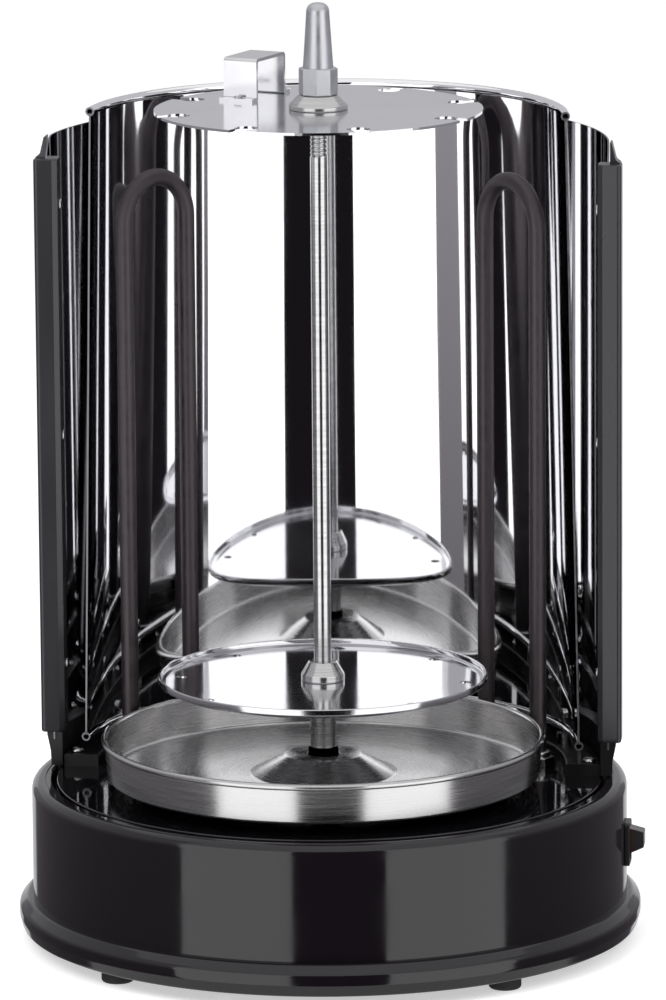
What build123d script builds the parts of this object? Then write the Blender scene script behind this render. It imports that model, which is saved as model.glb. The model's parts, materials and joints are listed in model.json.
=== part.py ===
from build123d import *
import math
import os

os.makedirs("parts", exist_ok=True)

# Vertical electric kebab grill. Millimetres, +Z up, front towards -Y, origin on the table
# under the middle of the base. The spit stands in front of the middle of the base.

# ---------------------------------------------------------------- driving dimensions
# clearances
seat_gap = 0.05            # round piece held in a fixed hole, radial
shaft_gap = 0.05           # turning shaft in its bush, radial
slide_gap = 0.3            # sliding or lift-off pieces
door_gap = 0.35            # door runner in its track

# base
foot_height = 6.5
foot_dia = 15.0
foot_ring_radius = 145.0
foot_ring_height = 14.4
foot_inset = 14.0          # feet stand this far inside the foot ring
skirt_step = 6.5           # the wall stands this far inside the foot ring
wall_thickness = 2.6
wall_height = 48.6
rim_height = 5.9           # from the seam to the top of the lip
lip_width = 6.5            # from the wall to the inner edge of the rounded lip
deck_thickness = 3.0
deck_drop = 0.4            # the deck lies this much below the lip
cover_thickness = 2.5
deck_seat_width = 3.0
screw_radius = 1.5
screw_head_radius = 3.0
screw_head_height = 1.8

# spit axis
spit_forward = 22.0        # distance of the spit axis in front of the base's middle

# drip pan
pan_rim_gap = 2.25         # front of the pan's rim to the door track
pan_wall_lean = 2.75       # the rim is this much wider than the floor
pan_sheet = 1.0
pan_depth = 19.0
pan_bead_radius = 1.5
pan_lift_height = 5.8      # the pan's floor stands this much above the deck
cone_foot_radius = 34.0
cone_top_radius = 17.5
cone_height = 8.6
pan_hole_radius = 7.4
pan_seat_radius = 42.0

# spit
shaft_radius = 6.0         # below the meat plate
rod_radius = 4.0           # through the meat
drive_shaft_radius = 4.0
socket_radius = 7.0
socket_rise = 3.0          # socket top above the cone of the pan
tang_width = 6.6
tang_length = 9.0
plate_inset = 26.75        # the meat plate is this much smaller than the pan
plate_sheet = 1.5
plate_rim_height = 4.5
plate_clearance = 24.0     # meat plate above the rim of the pan
disc_inset = 1.0           # the top disc is this much smaller than the meat plate
disc_sheet = 1.2
plate_to_disc = 264.8
skewer_count = 8
notch_width = 7.0
notch_depth = 9.0
spike_length = 42.0
spike_foot_radius = 7.0
spike_tip_radius = 5.0
collar_radius = 9.0
collar_height = 12.5
washer_radius = 13.5
washer_height = 6.5
bracket_width = 17.0
bracket_height = 18.0
bracket_span = 26.0
bracket_sheet = 1.5

# heating elements
element_radius = 4.0
element_gap = 15.0         # middle of a heater to the reflector's top edge
right_legs = ((-3.9, 73.3), (4.1, 47.8))     # each leg: nearer to the middle, angle from the back
left_legs = ((-6.2, 73.7), (0.5, 50.35))
element_below_disc = 37.6
element_tail = 14.0        # cold end below the deck
gland_radius = 7.5
gland_height = 7.0

# reflector
reflector_gap = 13.8       # foot of the reflector to the doors
reflector_lean = 5.9       # the foot is this much wider than the top
reflector_half_angle = 85.3
reflector_sheet = 0.8
reflector_stand = 7.8      # foot of the reflector above its carrier
reflector_below_disc = 5.8
bead_radius = 2.1
bead_wall = 0.8
carrier_inset = 6.4        # the carrier's inner edge inside the reflector's foot
carrier_height = 5.8
carrier_half_angle = 87.0
spacer_radius = 4.0

# doors
door_inset = 2.0           # middle of the sheet inside the lip
door_sheet_thickness = 0.8
door_rise = 18.0           # foot of the doors above the lip
door_below_disc = 17.6
door_corner_radius = 13.4
door_face_angle = 89.0     # front face of the handle, measured from the back
door_arc = 87.0
door_slot_depth = 5.0
runner_width = 7.2
handle_proud = 6.0         # outer face of the handle outside the sheet
handle_width = 11.0
handle_depth = 12.5
ear_height = 9.7           # the sheet's top above the bar of the handle
handle_screw_inset = 22.0
handle_low_screw = 30.0    # clears the rim of the lifted pan
tongue_depth = 4.4
tongue_width = 1.6

# switch and cord inlet
switch_width = 13.0
switch_length = 20.5
switch_share = 0.51        # height of the switch up the wall
rocker_width = 9.0
rocker_length = 16.5
rocker_depth = 7.0
rocker_proud = 6.5
bezel_proud = 2.2
inlet_radius = 3.6
gland_nut_radius = 8.0

# drive
motor_radius = 25.0
motor_length = 20.0
gearbox_radius = 30.0
gearbox_length = 17.0
bracket_plate = 1.5
bush_radius = 9.0

terminal_length = 48.0
terminal_width = 16.0
terminal_height = 14.0
terminal_back = 90.0       # middle of the strip behind the base's middle
neck_hole_radius = 8.0
boss_screw_reach = 8.0

# ---------------------------------------------------------------- derived radii and heights
foot_pitch_radius = foot_ring_radius - foot_inset
wall_radius = foot_ring_radius - skirt_step
lip_radius = wall_radius - lip_width
door_radius = lip_radius - door_inset
handle_outer_radius = door_radius + handle_proud
reflector_foot_radius = door_radius - reflector_gap
reflector_top_radius = reflector_foot_radius - reflector_lean
carrier_inner_radius = reflector_foot_radius - carrier_inset
carrier_screw_pitch = reflector_foot_radius + 4.8
ring_foot_z = foot_height
ring_top_z = ring_foot_z + foot_ring_height
seam_z = ring_top_z + wall_height
lip_z = seam_z + rim_height
deck_z = lip_z - deck_drop
deck_under_z = deck_z - deck_thickness
pan_z = deck_z + pan_lift_height
pan_rim_z = pan_z + pan_depth
cone_z = pan_z + pan_sheet + cone_height
socket_z = cone_z + socket_rise
plate_z = pan_rim_z + plate_clearance
disc_z = plate_z + plate_sheet + plate_to_disc
washer_z = disc_z + disc_sheet
collar_z = washer_z + washer_height
spike_z = collar_z + collar_height
carrier_z = deck_z + carrier_height
reflector_foot_z = carrier_z + reflector_stand
reflector_top_z = disc_z - reflector_below_disc
element_top = disc_z - element_below_disc
door_foot_z = lip_z + door_rise
door_top_z = disc_z - door_below_disc
handle_top_z = door_top_z - ear_height
wall_inner = wall_radius - wall_thickness
track_outer = lip_radius - 2.7
track_inner = track_outer - tongue_width - 2 * door_gap
deck_radius = track_inner
pan_rim_radius = track_inner - spit_forward - pan_rim_gap
pan_foot_radius = pan_rim_radius - pan_wall_lean
plate_radius = pan_rim_radius - plate_inset
disc_radius = plate_radius - disc_inset
runner_inner = door_radius - runner_width / 2
runner_foot_z = lip_z + door_gap
cover_top_z = ring_foot_z + 3.0 + cover_thickness
bracket_z = deck_under_z - 13.0
gearbox_z = bracket_z - bracket_plate - gearbox_length
motor_z = gearbox_z - motor_length
switch_z = ring_top_z + wall_height * switch_share
inlet_z = ring_top_z + wall_height * 0.35
spit_y = -spit_forward


# ---------------------------------------------------------------- helpers
def section(points, radii=None):
    """Closed outline of (radius, height) points in the XZ plane, corners rounded where asked."""
    radii = radii or [0] * len(points)
    outline = FilletPolyline(*points, radius=radii, close=True)
    return Plane.XZ * make_face(outline)


def turned(points, radii=None, start=0.0, arc=360.0):
    """The outline turned about Z. start and arc are degrees from the back, positive to +X."""
    solid = revolve(section(points, radii), Axis.Z, arc)
    return Rot(0, 0, 90 - start - arc) * solid


def at_angle(radius, angle, z=0.0):
    """Point at an angle from the back, positive towards +X."""
    a = math.radians(angle)
    return (radius * math.sin(a), radius * math.cos(a), z)


def rod(radius, z0, z1, x=0.0, y=0.0):
    """Upright cylinder from z0 to z1."""
    return Pos(x, y, (z0 + z1) / 2) * Cylinder(radius, z1 - z0)


def pipe(radius, bore, z0, z1, x=0.0, y=0.0):
    """Upright tube from z0 to z1."""
    return rod(radius, z0, z1, x, y) - rod(bore, z0 - 1, z1 + 1, x, y)


def block(x0, x1, y0, y1, z0, z1):
    """Box between two corners."""
    return Pos((x0 + x1) / 2, (y0 + y1) / 2, (z0 + z1) / 2) * Box(x1 - x0, y1 - y0, z1 - z0)


def at_spit(shape):
    """Move a piece made on the Z axis to the spit axis."""
    return Pos(0, spit_y, 0) * shape


def pan_screw(seat_z, tip_z, x, y):
    """Screw with its head on top of seat_z and its tip down at tip_z, with a cross slot."""
    head = rod(screw_head_radius, seat_z, seat_z + screw_head_height, x, y)
    head = fillet(head.edges().sort_by(Axis.Z)[-1], screw_head_height * 0.6)
    slot_z = seat_z + screw_head_height * 0.55
    long_way = screw_head_radius * 0.6
    slot = block(-long_way, long_way, -0.35, 0.35, slot_z, slot_z + 5)
    head -= Pos(x, y, 0) * (slot + Rot(0, 0, 90) * slot)
    return head + rod(screw_radius, tip_z, seat_z + 0.2, x, y)


def upward_screw(seat_z, tip_z, x, y):
    """Screw with its head below seat_z and its tip up at tip_z."""
    return Pos(x, y, 0) * (Rot(180, 0, 0) * pan_screw(-seat_z, -tip_z, 0, 0))


def write(shape, name):
    """Write one node."""
    export_step(shape, f"parts/{name}.step")


# ---------------------------------------------------------------- base
feet_angles = {"front_left": -139, "front_right": 136, "rear_left": -45, "rear_right": 45}
bottom_screw_angles = [-165, -105, -15, 15, 105, 165]
bottom_screw_pitch = wall_inner - 6.5
boss_radius = 4.5
cover_radius = wall_inner - 1.0


def foot_ring():
    """Skirt under the wall: rounded outside, with an inward flange that holds the cover."""
    shoulder = wall_inner
    outer = foot_ring_radius
    flange = foot_pitch_radius - foot_dia / 2 - 3.0
    z0 = ring_foot_z
    points = [(flange, z0), (outer - 1.5, z0), (outer, z0 + 5.5), (outer, ring_top_z - 4.0),
              (outer - 4.0, ring_top_z), (shoulder, ring_top_z), (shoulder, ring_top_z - 3.0),
              (outer - 3.5, ring_top_z - 3.0), (outer - 3.5, z0 + 3.0), (flange, z0 + 3.0)]
    ring = turned(points, [0, 1.2, 5.0, 3.5, 2.5, 0, 0, 1.5, 0.5, 0])
    for angle in feet_angles.values():
        x, y, _ = at_angle(foot_pitch_radius, angle)
        ring -= rod(foot_stem + seat_gap, z0 - 1, z0 + 5, x, y)
    for angle in bottom_screw_angles:
        x, y, _ = at_angle(bottom_screw_pitch, angle)
        ring -= rod(screw_radius + seat_gap, z0 - 1, z0 + 5, x, y)
    return ring


foot_stem = 3.0


def rubber_foot(angle):
    """Round rubber foot with a stem that is pushed up through the flange."""
    x, y, _ = at_angle(foot_pitch_radius, angle)
    pad = rod(foot_dia / 2, 0, foot_height, x, y)
    pad = fillet(pad.edges().sort_by(Axis.Z)[0], 1.5)
    return pad + rod(foot_stem, foot_height - 0.5, foot_height + 5.0, x, y)


def bottom_cover():
    """Cover plate with slots that let the motor breathe."""
    z0 = ring_foot_z + 3.0
    plate = rod(cover_radius, z0, z0 + cover_thickness)
    slot = extrude(SlotOverall(40, 5), cover_thickness + 2)
    for row in range(7):
        plate -= Pos(0, 30 + (row - 3) * 11, z0 - 1) * slot
    for angle in feet_angles.values():
        x, y, _ = at_angle(foot_pitch_radius, angle)
        plate -= rod(foot_stem + seat_gap, z0 - 1, z0 + 9, x, y)
    for angle in bottom_screw_angles:
        x, y, _ = at_angle(bottom_screw_pitch, angle)
        plate -= rod(screw_radius + seat_gap, z0 - 1, z0 + 9, x, y)
    return plate


def base_wall():
    """Round wall with screw bosses inside, a switch window and a cord hole."""
    wall = pipe(wall_radius, wall_inner, ring_top_z, seam_z)
    for angle in bottom_screw_angles:
        x, y, _ = at_angle(bottom_screw_pitch, angle)
        boss = rod(boss_radius, cover_top_z, seam_z - 2, x, y)
        web_x, web_y, _ = at_angle((bottom_screw_pitch + wall_inner) / 2, angle)
        web = Pos(web_x, web_y, 0) * (Rot(0, 0, -angle) * block(-1, 1, -4, 4, ring_top_z, seam_z - 2))
        pilot = rod(screw_radius + seat_gap, cover_top_z - 1, cover_top_z + 9, x, y)
        wall = wall + boss + web - pilot
    window = block(wall_inner - 5, wall_radius + 5, -switch_width / 2 + 1, switch_width / 2 - 1,
                   switch_z - switch_length / 2 + 1, switch_z + switch_length / 2 - 1)
    wall -= window
    wall -= Pos(0, wall_radius, inlet_z) * (Rot(90, 0, 0) * Cylinder(inlet_stem + seat_gap, 20))
    return wall


inlet_stem = 6.0


def top_rim():
    """Rim cap: rounded lip, a flat ledge, the round track for the doors and the deck's seat."""
    floor_z = deck_z - tongue_depth - 1.2
    seat_z = deck_under_z
    seat_inner = track_inner - deck_seat_width
    points = [(wall_radius, seam_z), (wall_radius, lip_z), (lip_radius, lip_z),
              (lip_radius, deck_z), (track_outer, deck_z), (track_outer, floor_z),
              (track_inner, floor_z), (track_inner, seat_z), (seat_inner, seat_z),
              (seat_inner, floor_z - 1.5), (wall_inner, floor_z - 1.5), (wall_inner, seam_z)]
    return turned(points, [0, 4.6, 0.2, 0, 0.3, 0, 0, 0, 0, 0, 0, 0])


def element_legs(side):
    """Outer and inner foot of one element. The left one is bent a little narrower."""
    legs = right_legs if side > 0 else left_legs
    feet = [at_angle(reflector_top_radius - element_gap - inset, angle) for inset, angle in legs]
    return [(side * x, y) for x, y, _ in feet]


def element_points():
    """Feet of both elements, outer then inner, left then right."""
    return element_legs(-1) + element_legs(1)


deck_screw_angles = [-135, -45, 45, 135]
standoff_spread = 22.0


def deck_plate():
    """Enamelled deck with the pan's seat ring and the hole of the drive bush."""
    deck = rod(deck_radius - 0.05, deck_under_z, deck_z)
    deck = fillet(deck.edges().sort_by(Axis.Z)[-1], 0.6)
    seat = turned([(pan_seat_radius - 6, deck_z - 1), (pan_seat_radius, deck_z - 1),
                   (pan_seat_radius - 1.0, pan_z), (pan_seat_radius - 5.0, pan_z)])
    deck += at_spit(seat)
    deck -= at_spit(rod(bush_radius + seat_gap, deck_under_z - 1, deck_z + 1))
    for x, y in element_points():
        deck -= rod(gland_radius - 2.0 + seat_gap, deck_under_z - 1, deck_z + 1, x, y)
    for x, y in carrier_screw_points():
        deck -= rod(screw_radius + seat_gap, deck_under_z - 1, deck_z + 1, x, y)
    for x, y in standoff_points():
        deck -= rod(screw_radius + seat_gap, deck_under_z - 1, deck_z + 1, x, y)
    return deck


def standoff_points():
    """Places of the four motor posts round the spit axis."""
    s = standoff_spread
    return [(sx * s * 1.45, spit_y + sy * s) for sx in (-1, 1) for sy in (-1, 1)]


def drive_bush():
    """Flanged bush that guides the drive shaft through the deck."""
    body = rod(bush_radius, deck_under_z - 3, deck_z + 2.0)
    flange = rod(bush_radius + 4, deck_z, deck_z + 2.0)
    bush = body + flange - rod(drive_shaft_radius + shaft_gap, 0, pan_z + 20)
    return at_spit(fillet(bush.edges().group_by(Axis.Z)[-1].sort_by(SortBy.RADIUS)[-1], 1.0))


# ---------------------------------------------------------------- drive under the deck
def motor_posts():
    """Four posts between the deck and the motor bracket."""
    return Compound(children=[pipe(4.0, screw_radius + seat_gap, bracket_z, deck_under_z, x, y)
                              for x, y in standoff_points()])


def motor_bracket():
    """Flat bracket that hangs on the four posts and carries the gearbox."""
    s = standoff_spread
    plate = Pos(0, spit_y, bracket_z - bracket_plate) * extrude(
        RectangleRounded(2 * s * 1.45 + 14, 2 * s + 14, 5), bracket_plate)
    for x, y in standoff_points():
        plate -= rod(screw_radius + seat_gap, bracket_z - 5, bracket_z + 5, x, y)
    return plate - at_spit(rod(neck_hole_radius, bracket_z - 5, bracket_z + 5))


def motor_screws():
    """Screws up through the bracket and the posts."""
    under = bracket_z - bracket_plate
    return Compound(children=[upward_screw(under, deck_z - 0.6, x, y) for x, y in standoff_points()])


def gearbox_case():
    """Round gear case with a neck round the output shaft."""
    case = rod(gearbox_radius, gearbox_z, gearbox_z + gearbox_length)
    case = fillet(case.edges().sort_by(Axis.Z)[0], 1.5)
    case += rod(7.5, gearbox_z + gearbox_length - 1, bracket_z + 4)
    return at_spit(case - rod(drive_shaft_radius + shaft_gap, gearbox_z + 3, bracket_z + 20))


def motor_can():
    """Pressed steel can of the synchronous motor."""
    can = rod(motor_radius, motor_z, motor_z + motor_length)
    can = fillet(can.edges().sort_by(Axis.Z)[0], 2.0)
    return at_spit(can)


def drive_shaft():
    """Output shaft of the gearbox, with its socket pin hole."""
    return at_spit(rod(drive_shaft_radius, gearbox_z + 3.5, socket_z - tang_length - 2.5))


def drive_socket():
    """Turned socket on the drive shaft. The spit's square tang drops into it."""
    z0 = deck_z + 2.0 + slide_gap
    body = rod(socket_radius, z0, socket_z)
    body = fillet(body.edges().sort_by(Axis.Z)[-1], 0.8)
    body -= rod(drive_shaft_radius + seat_gap, z0 - 1, socket_z - tang_length - 2.5)
    hole = tang_width + 2 * slide_gap
    body -= block(-hole / 2, hole / 2, -hole / 2, hole / 2, socket_z - tang_length - 1, socket_z + 1)
    return at_spit(body)


# ---------------------------------------------------------------- switch and electrics
def switch_frame_shape(width, length, x0, x1):
    """Upright block on the +X side, centred on the switch."""
    return block(x0, x1, -width / 2, width / 2, switch_z - length / 2, switch_z + length / 2)


switch_face = wall_radius + bezel_proud
rocker_pivot_x = switch_face - 3.0


def switch_bezel():
    """Snap-in switch body with its frame outside the wall."""
    frame = switch_frame_shape(switch_width, switch_length, wall_radius, switch_face)
    frame = fillet(frame.edges().filter_by(Axis.X), 1.5)
    inner_x = wall_radius - 22
    body = switch_frame_shape(switch_width - 2.4, switch_length - 2.4, inner_x, wall_radius)
    well = switch_frame_shape(rocker_width + 2 * slide_gap, rocker_length + 2 * slide_gap,
                              switch_face - rocker_depth - 3.5, switch_face + 3)
    pin = Pos(rocker_pivot_x, 0, switch_z) * (Rot(90, 0, 0) * Cylinder(1.0, rocker_width + 1.4))
    return frame + body - well + pin


def rocker():
    """Rocker key: a raised thumb block above a sloping face, bored for the switch's cross pin."""
    half = rocker_length / 2
    face_x = switch_face
    points = [(face_x - rocker_depth + 1.5, -half * 0.45), (face_x - rocker_depth + 1.5, half * 0.45),
              (face_x - 1.0, half - 0.4), (face_x + rocker_proud, half - 2.4), (face_x + rocker_proud, -1.4),
              (face_x + 0.8, -4.0), (face_x - 0.4, -half + 0.4), (face_x - 1.4, -half + 0.4)]
    outline = FilletPolyline(*points, radius=[0.8, 0.8, 0.6, 1.0, 0.8, 1.0, 0.2, 0.2], close=True)
    key = extrude(Plane.XZ * make_face(outline), rocker_width / 2, both=True)
    key = Pos(0, 0, switch_z) * key
    hole = Pos(rocker_pivot_x, 0, switch_z) * (Rot(90, 0, 0) * Cylinder(1.0 + shaft_gap, 40))
    return key - hole


def switch_terminals():
    """Three blade terminals at the back of the switch."""
    x1 = wall_radius - 22
    blades = [block(x1 - 8, x1, -2.4, 2.4, switch_z + dz - 0.4, switch_z + dz + 0.4) for dz in (-6, 0, 6)]
    return Compound(children=blades)


def cord_inlet():
    """Round strain-relief bush in the rear wall, with the cord's bore."""
    axis_place = Pos(0, 0, inlet_z) * Rot(-90, 0, 0)
    nut_radius = gland_nut_radius + 0.5
    nut_face = math.sqrt(wall_inner ** 2 - nut_radius ** 2)
    stem = rod(inlet_stem, nut_face - 5, wall_radius + 1)
    head = rod(gland_nut_radius, wall_radius, wall_radius + 5.0)
    head = fillet(head.edges().sort_by(Axis.Z)[-1], 1.4)
    nut = rod(nut_radius, nut_face - 5, nut_face)
    bush = stem + head + nut - rod(inlet_radius, wall_inner - 20, wall_radius + 20)
    return axis_place * bush


def terminal_block():
    """Terminal strip on the bottom cover, where the cord, switch and elements meet."""
    z0 = cover_top_z
    half = terminal_length / 2
    pitch = terminal_length / 5
    body = block(-half, half, terminal_back - terminal_width / 2, terminal_back + terminal_width / 2,
                 z0, z0 + terminal_height)
    for i in range(5):
        x = (i - 2) * pitch
        body -= rod(2.4, z0 + 6, z0 + 20, x, terminal_back)
        body -= Pos(x, terminal_back, z0 + 4.5) * (Rot(90, 0, 0) * Cylinder(1.8, 40))
    return body


def thermal_cutout():
    """Bimetal cut-out clipped under the deck beside the drive."""
    x, y = 52.0, 22.0
    body = rod(8.0, deck_under_z - 9, deck_under_z - 1.2, x, y)
    flange = block(x - 12, x + 12, y - 5, y + 5, deck_under_z - 1.2, deck_under_z)
    tabs = [block(x + dx - 0.4, x + dx + 0.4, y - 2.4, y + 2.4, deck_under_z - 17, deck_under_z - 9)
            for dx in (-4, 4)]
    return body + flange + tabs


# ---------------------------------------------------------------- heating elements
def element(side):
    """Tubular element bent to an upright hairpin, with cold ends below the deck."""
    (xo, yo), (xi, yi) = element_legs(side)
    spacing = math.hypot(xo - xi, yo - yi)
    bend = spacing / 2
    arch_z = element_top - element_radius - bend
    foot_z = deck_under_z - element_tail
    left = Line((-bend, 0, foot_z), (-bend, 0, arch_z))
    arch = ThreePointArc((-bend, 0, arch_z), (0, 0, arch_z + bend), (bend, 0, arch_z))
    right = Line((bend, 0, arch_z), (bend, 0, foot_z))
    path = Wire([left, arch, right])
    tube = sweep(Plane((-bend, 0, foot_z), z_dir=(0, 0, 1)) * Circle(element_radius), path)
    turn = math.degrees(math.atan2(yi - yo, xi - xo))
    return Pos((xo + xi) / 2, (yo + yi) / 2, 0) * (Rot(0, 0, turn) * tube)


def element_glands():
    """Four steel glands that hold the elements in the deck."""
    glands = []
    for x, y in element_points():
        nut = Pos(x, y, deck_z) * extrude(RegularPolygon(gland_radius, 6), gland_height * 0.6)
        collar = rod(gland_radius - 1.8, deck_z, deck_z + gland_height, x, y)
        stem = rod(gland_radius - 2.0, deck_under_z - 4, deck_z + 1, x, y)
        bore = rod(element_radius + seat_gap, deck_under_z - 10, deck_z + 20, x, y)
        glands.append(nut + collar + stem - bore)
    return Compound(children=glands)


def element_terminals():
    """Ceramic beads and threaded pins on the four cold ends."""
    foot_z = deck_under_z - element_tail
    pins = []
    for x, y in element_points():
        bead = rod(element_radius - 0.8, foot_z - 3, foot_z, x, y)
        pins.append(bead + rod(1.6, foot_z - 12, foot_z - 2, x, y))
    return Compound(children=pins)


# ---------------------------------------------------------------- reflector
reflector_fix_angles = [-66, -22, 22, 66]
reflector_screw_z = reflector_foot_z + 7.0
reflector_screw_radius = 1.0
reflector_screw_share = (reflector_screw_z - reflector_foot_z) / (reflector_top_z - reflector_foot_z)
reflector_at_screw = reflector_foot_radius - reflector_lean * reflector_screw_share
carrier_screw_angles = [-84.5, -42, 0, 42, 84.5]


def carrier_screw_points():
    """Places of the screws that hold the reflector's carrier on the deck."""
    return [at_angle(carrier_screw_pitch, angle)[:2] for angle in carrier_screw_angles]


def reflector_carrier():
    """Raised black arch on the deck that carries the reflector and guides the doors."""
    outer = runner_inner - door_gap
    points = [(carrier_inner_radius, deck_z), (outer, deck_z), (outer, carrier_z),
              (carrier_inner_radius, carrier_z)]
    arch = turned(points, [0, 0, 1.0, 1.0], -carrier_half_angle, 2 * carrier_half_angle)
    for x, y in carrier_screw_points():
        arch -= rod(screw_radius + seat_gap, deck_z - 1, carrier_z + 1, x, y)
    return arch


def carrier_screws():
    """Screws down through the carrier into the deck."""
    return Compound(children=[pan_screw(carrier_z, deck_under_z - 2, x, y)
                              for x, y in carrier_screw_points()])


def reflector():
    """Polished sheet, slightly wider at its foot, with both long edges rolled to open tubes."""
    half = reflector_sheet / 2
    sheet = turned([(reflector_foot_radius - half, reflector_foot_z),
                    (reflector_foot_radius + half, reflector_foot_z),
                    (reflector_top_radius + half, reflector_top_z),
                    (reflector_top_radius - half, reflector_top_z)],
                   None, -reflector_half_angle, 2 * reflector_half_angle)
    rolls = []
    for radius, z in ((reflector_foot_radius, reflector_foot_z), (reflector_top_radius, reflector_top_z)):
        ring = Plane.XZ * (Pos(radius, z) * (Circle(bead_radius) - Circle(bead_radius - bead_wall)))
        roll = revolve(ring, Axis.Z, 2 * reflector_half_angle)
        roll = Rot(0, 0, 90 - reflector_half_angle) * roll
        bore = Plane.XZ * (Pos(radius, z) * Circle(bead_radius - bead_wall))
        hollow = Rot(0, 0, 90 - reflector_half_angle) * revolve(bore, Axis.Z, 2 * reflector_half_angle)
        rolls.append((roll, hollow))
    for roll, hollow in rolls:
        sheet = sheet - hollow + roll
    return sheet - reflector_screw_bores()


def reflector_screw_bores():
    """Holes across the sheet and its lugs, one at each fixing."""
    bore = Pos(reflector_foot_radius, 0, reflector_screw_z) * (
        Rot(0, 90, 0) * Cylinder(reflector_screw_radius + seat_gap, 20))
    return Compound(children=[Rot(0, 0, 90 - angle) * bore for angle in reflector_fix_angles])


def reflector_spacers():
    """Short posts under the reflector's lower roll, each with a lug behind the sheet."""
    posts = []
    top = reflector_foot_z - bead_radius
    for angle in reflector_fix_angles:
        x, y, _ = at_angle(reflector_foot_radius, angle)
        post = rod(spacer_radius, carrier_z, top, x, y)
        lug_in = reflector_foot_radius + bead_radius + 0.1
        lug = turned([(lug_in, carrier_z), (lug_in + 1.5, carrier_z), (lug_in + 1.5, top + 12),
                      (lug_in, top + 12)], None, angle - 2.0, 4.0)
        posts.append(post + lug - reflector_screw_bores())
    return Compound(children=posts)


def reflector_screws():
    """Small screws that hold the sheet to the lugs."""
    z = reflector_screw_z
    screws = []
    for angle in reflector_fix_angles:
        lug_out = reflector_foot_radius + bead_radius + 1.6
        inner = reflector_at_screw - reflector_sheet / 2 - 2 * seat_gap
        body = Rot(0, 90, 0) * Cylinder(reflector_screw_radius, lug_out - inner + 1.2)
        head = Rot(0, 90, 0) * Cylinder(2.2, 1.0)
        screw = Pos((lug_out + inner) / 2, 0, z) * body + Pos(inner - 0.5, 0, z) * head
        screws.append(Rot(0, 0, 90 - angle) * screw)
    return Compound(children=screws)


# ---------------------------------------------------------------- doors, made on the +X side
door_rear_angle = door_face_angle - door_arc
door_turn = door_face_angle - 90
face_place = Rot(0, 0, -door_turn)


def corner_cutter(edge_y, radius):
    """Takes the square top front corner away: edge_y is the front edge at the +X side."""
    square = block(0, 300, edge_y - 5, edge_y + radius, door_top_z - radius, door_top_z + 5)
    disc = Pos(150, edge_y + radius, door_top_z - radius) * (Rot(0, 90, 0) * Cylinder(radius, 320))
    return square - disc


def door_sheet():
    """Curved polished guard with a rounded top front corner."""
    inner = door_radius - door_sheet_thickness / 2
    outer = door_radius + door_sheet_thickness / 2
    z0 = door_foot_z - door_slot_depth
    edge_y = 1.6
    front = door_face_angle - math.degrees(edge_y / door_radius)
    sheet = turned([(inner, z0), (outer, z0), (outer, door_top_z), (inner, door_top_z)],
                   None, door_rear_angle, front - door_rear_angle)
    return sheet - face_place * corner_cutter(edge_y, door_corner_radius)


def door_handle():
    """Moulded grip bar that wraps the sheet's front edge, with an ear up to the sheet's top."""
    x1 = handle_outer_radius
    x0 = x1 - handle_width
    z0 = door_foot_z - 1.6
    bar = block(x0, x1, 0, handle_depth, z0, handle_top_z)
    bar = fillet(bar.edges().filter_by(Axis.Z).group_by(Axis.Y)[0], 2.0)
    bar = fillet(bar.edges().filter_by(Axis.Z).group_by(Axis.Y)[-1], 1.5)
    ear_top = door_top_z + 0.3
    ear_out = x1 - 0.6
    ear = block(door_radius + 0.6, ear_out, 4.5, handle_depth, handle_top_z - 2, ear_top)
    slope = FilletPolyline((ear_out + 1, handle_top_z + 0.4), (ear_out - 2.0, handle_top_z + 1.6),
                           (door_radius + 1.4, ear_top + 0.1), (ear_out + 1, ear_top + 1),
                           radius=[0, 3.0, 0.3, 0], close=True)
    ear -= extrude(Plane.XZ * make_face(slope), 60, both=True)
    grip = face_place * (bar + ear)
    inner = door_radius - door_sheet_thickness / 2 - 0.12
    outer = door_radius + door_sheet_thickness / 2 + 0.12
    slot = turned([(inner, z0 - 5), (outer, z0 - 5), (outer, door_top_z + 5), (inner, door_top_z + 5)],
                  None, door_face_angle - 20, 20 - math.degrees(1.5 / door_radius))
    grip -= slot
    for z in handle_screw_heights():
        grip -= face_place * handle_screw_bore(z)
    return grip


def handle_screw_heights():
    """Lower, middle and upper screw of a handle."""
    low = door_foot_z + handle_low_screw
    high = handle_top_z - handle_screw_inset
    return [low, (low + high) / 2, high]


def handle_screw_bore(z):
    """Round hole right through the bar at height z, across the sheet."""
    return Pos(door_radius, handle_depth * 0.62, z) * (Rot(0, 90, 0) * Cylinder(1.25 + seat_gap, 60))


def door_screws():
    """Handle screws put in from inside the door."""
    y = handle_depth * 0.62
    inner = handle_outer_radius - handle_width
    screws = []
    for z in handle_screw_heights():
        body = Pos(inner + 4.5, y, z) * (Rot(0, 90, 0) * Cylinder(1.25, 9.0))
        head = Pos(inner - 0.6, y, z) * (Rot(0, 90, 0) * Cylinder(2.6, 1.2))
        head = fillet(head.edges().sort_by(Axis.X)[0], 0.8)
        screws.append(face_place * (body + head))
    return Compound(children=screws)


def sheet_hole_cut(sheet):
    """Holes in the sheet for the handle screws."""
    for z in handle_screw_heights():
        sheet -= face_place * handle_screw_bore(z)
    return sheet


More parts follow.
